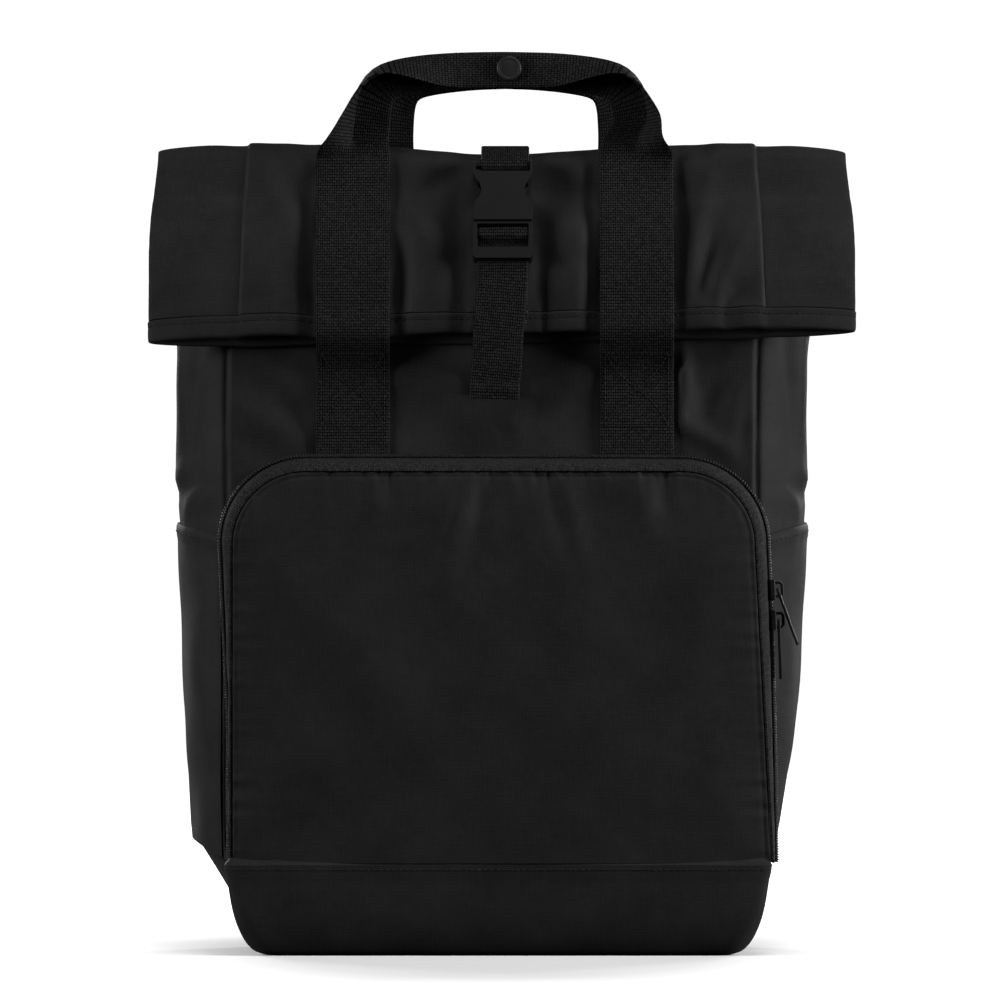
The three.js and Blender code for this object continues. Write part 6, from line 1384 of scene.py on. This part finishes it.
outer, inner = face_of("front_handle_webbing")
for hand, level in (("left", 0), ("right", 1)):
    height = outer[:, 12, 2]
    half = slice(0, len(height) // 2) if hand == "left" else slice(len(height) // 2, None)
    first = half.start or 0
    u_low, u_high = (first + int(np.abs(height[half] - z).argmin()) for z in (271.0, 308.0))
    box_and_cross(f"stitches_cross_{hand}", outer, inner, (u_low, u_high), (3.0, outer.shape[1] - 4.0))
outer, inner = face_of("closure_strap_lower_webbing")
tip = len(outer) - 1 - int(4.5 / np.linalg.norm(outer[-1, 10] - outer[-9, 10]) * 8)
line, out = on_grid(outer, inner, np.full(60, tip), np.linspace(1, outer.shape[1] - 2, 60))
stitches("stitches_tail", line, out, long=2.0, pitch=2.6, fat=0.25, sink=0.02, slot="webbing")

# %% [markdown]
# ## Floor
#
# A pale matt floor runs far out and curves up into a wall all round, like a bowl, so that no edge shows from
# any side. It glows beyond 0.3 metres in front and behind and 0.12 metres to the sides, so that the ground is
# white there and grey only in the contact shadow.

# %% The floor's material
PALE, TURNS = (0.93, 0.93, 0.93), 72
floor_mat, floor_tree, floor_shader, floor_node, _ = material("pale_floor", PALE, 0.85)
floor_shader.inputs["Specular IOR Level"].default_value = 0.1
floor_shader.inputs["Emission Color"].default_value = (1, 1, 1, 1)
floor_place = floor_node("ShaderNodeTexCoord").outputs["Object"]
floor_cloud = floor_node("ShaderNodeTexNoise", {"Vector": floor_place}, Scale=3.0, Detail=4.0)
tint(floor_tree, floor_shader, floor_node, PALE, floor_cloud.outputs["Fac"], 0.99, 1.01)
floor_sides = floor_node("ShaderNodeMapping", {"Vector": floor_place}, Scale=(2.6, 1, 1))
floor_away = floor_node("ShaderNodeVectorMath", {"Vector": floor_sides.outputs["Vector"]}, operation="LENGTH")
floor_glow = floor_node("ShaderNodeMapRange", {"Value": floor_away.outputs["Value"]}, From_Min=0.3,
                        From_Max=0.7,
                        To_Min=0.0, To_Max=1.02)
floor_tree.links.new(floor_glow.outputs["Result"], floor_shader.inputs["Emission Strength"])
print("floor nodes:", len(floor_tree.nodes))

# %% The floor's shape
bowl_rise = np.linspace(0, np.pi / 2, 13)
bowl_away = np.concatenate([[0.4, 0.8, 1.4, 2.4, 4, 6], 6.6 + 1.2 * np.sin(bowl_rise), [7.8]])
bowl_z = np.concatenate([[0, 0, 0, 0, 0, 0], 1.2 * (1 - np.cos(bowl_rise)), [6]])
bowl_turn = np.linspace(0, 2 * np.pi, TURNS, endpoint=False)[:, None]
bowl = np.stack([bowl_away * np.cos(bowl_turn), bowl_away * np.sin(bowl_turn), bowl_z + 0 * bowl_turn], -1)
mesh = bpy.data.meshes.new("floor")
rings = len(bowl_away)
turn_id, away_id = np.meshgrid(np.arange(TURNS), np.arange(rings - 1), indexing="ij")
this, after = turn_id * rings + away_id, (turn_id + 1) % TURNS * rings + away_id
bowl_faces = quads(this, this + 1, after + 1, after).tolist() + [[k * rings for k in range(TURNS)]]
mesh.from_pydata(bowl.reshape(-1, 3).tolist(), [], bowl_faces)
mesh.polygons.foreach_set("use_smooth", np.ones(len(mesh.polygons), bool))
mesh.materials.append(floor_mat)
floor = bpy.data.objects.new("floor", mesh)
bpy.context.scene.collection.objects.link(floor)
floor.visible_diffuse = floor.visible_glossy = False  # the dark cloth isn't lit by the bright floor
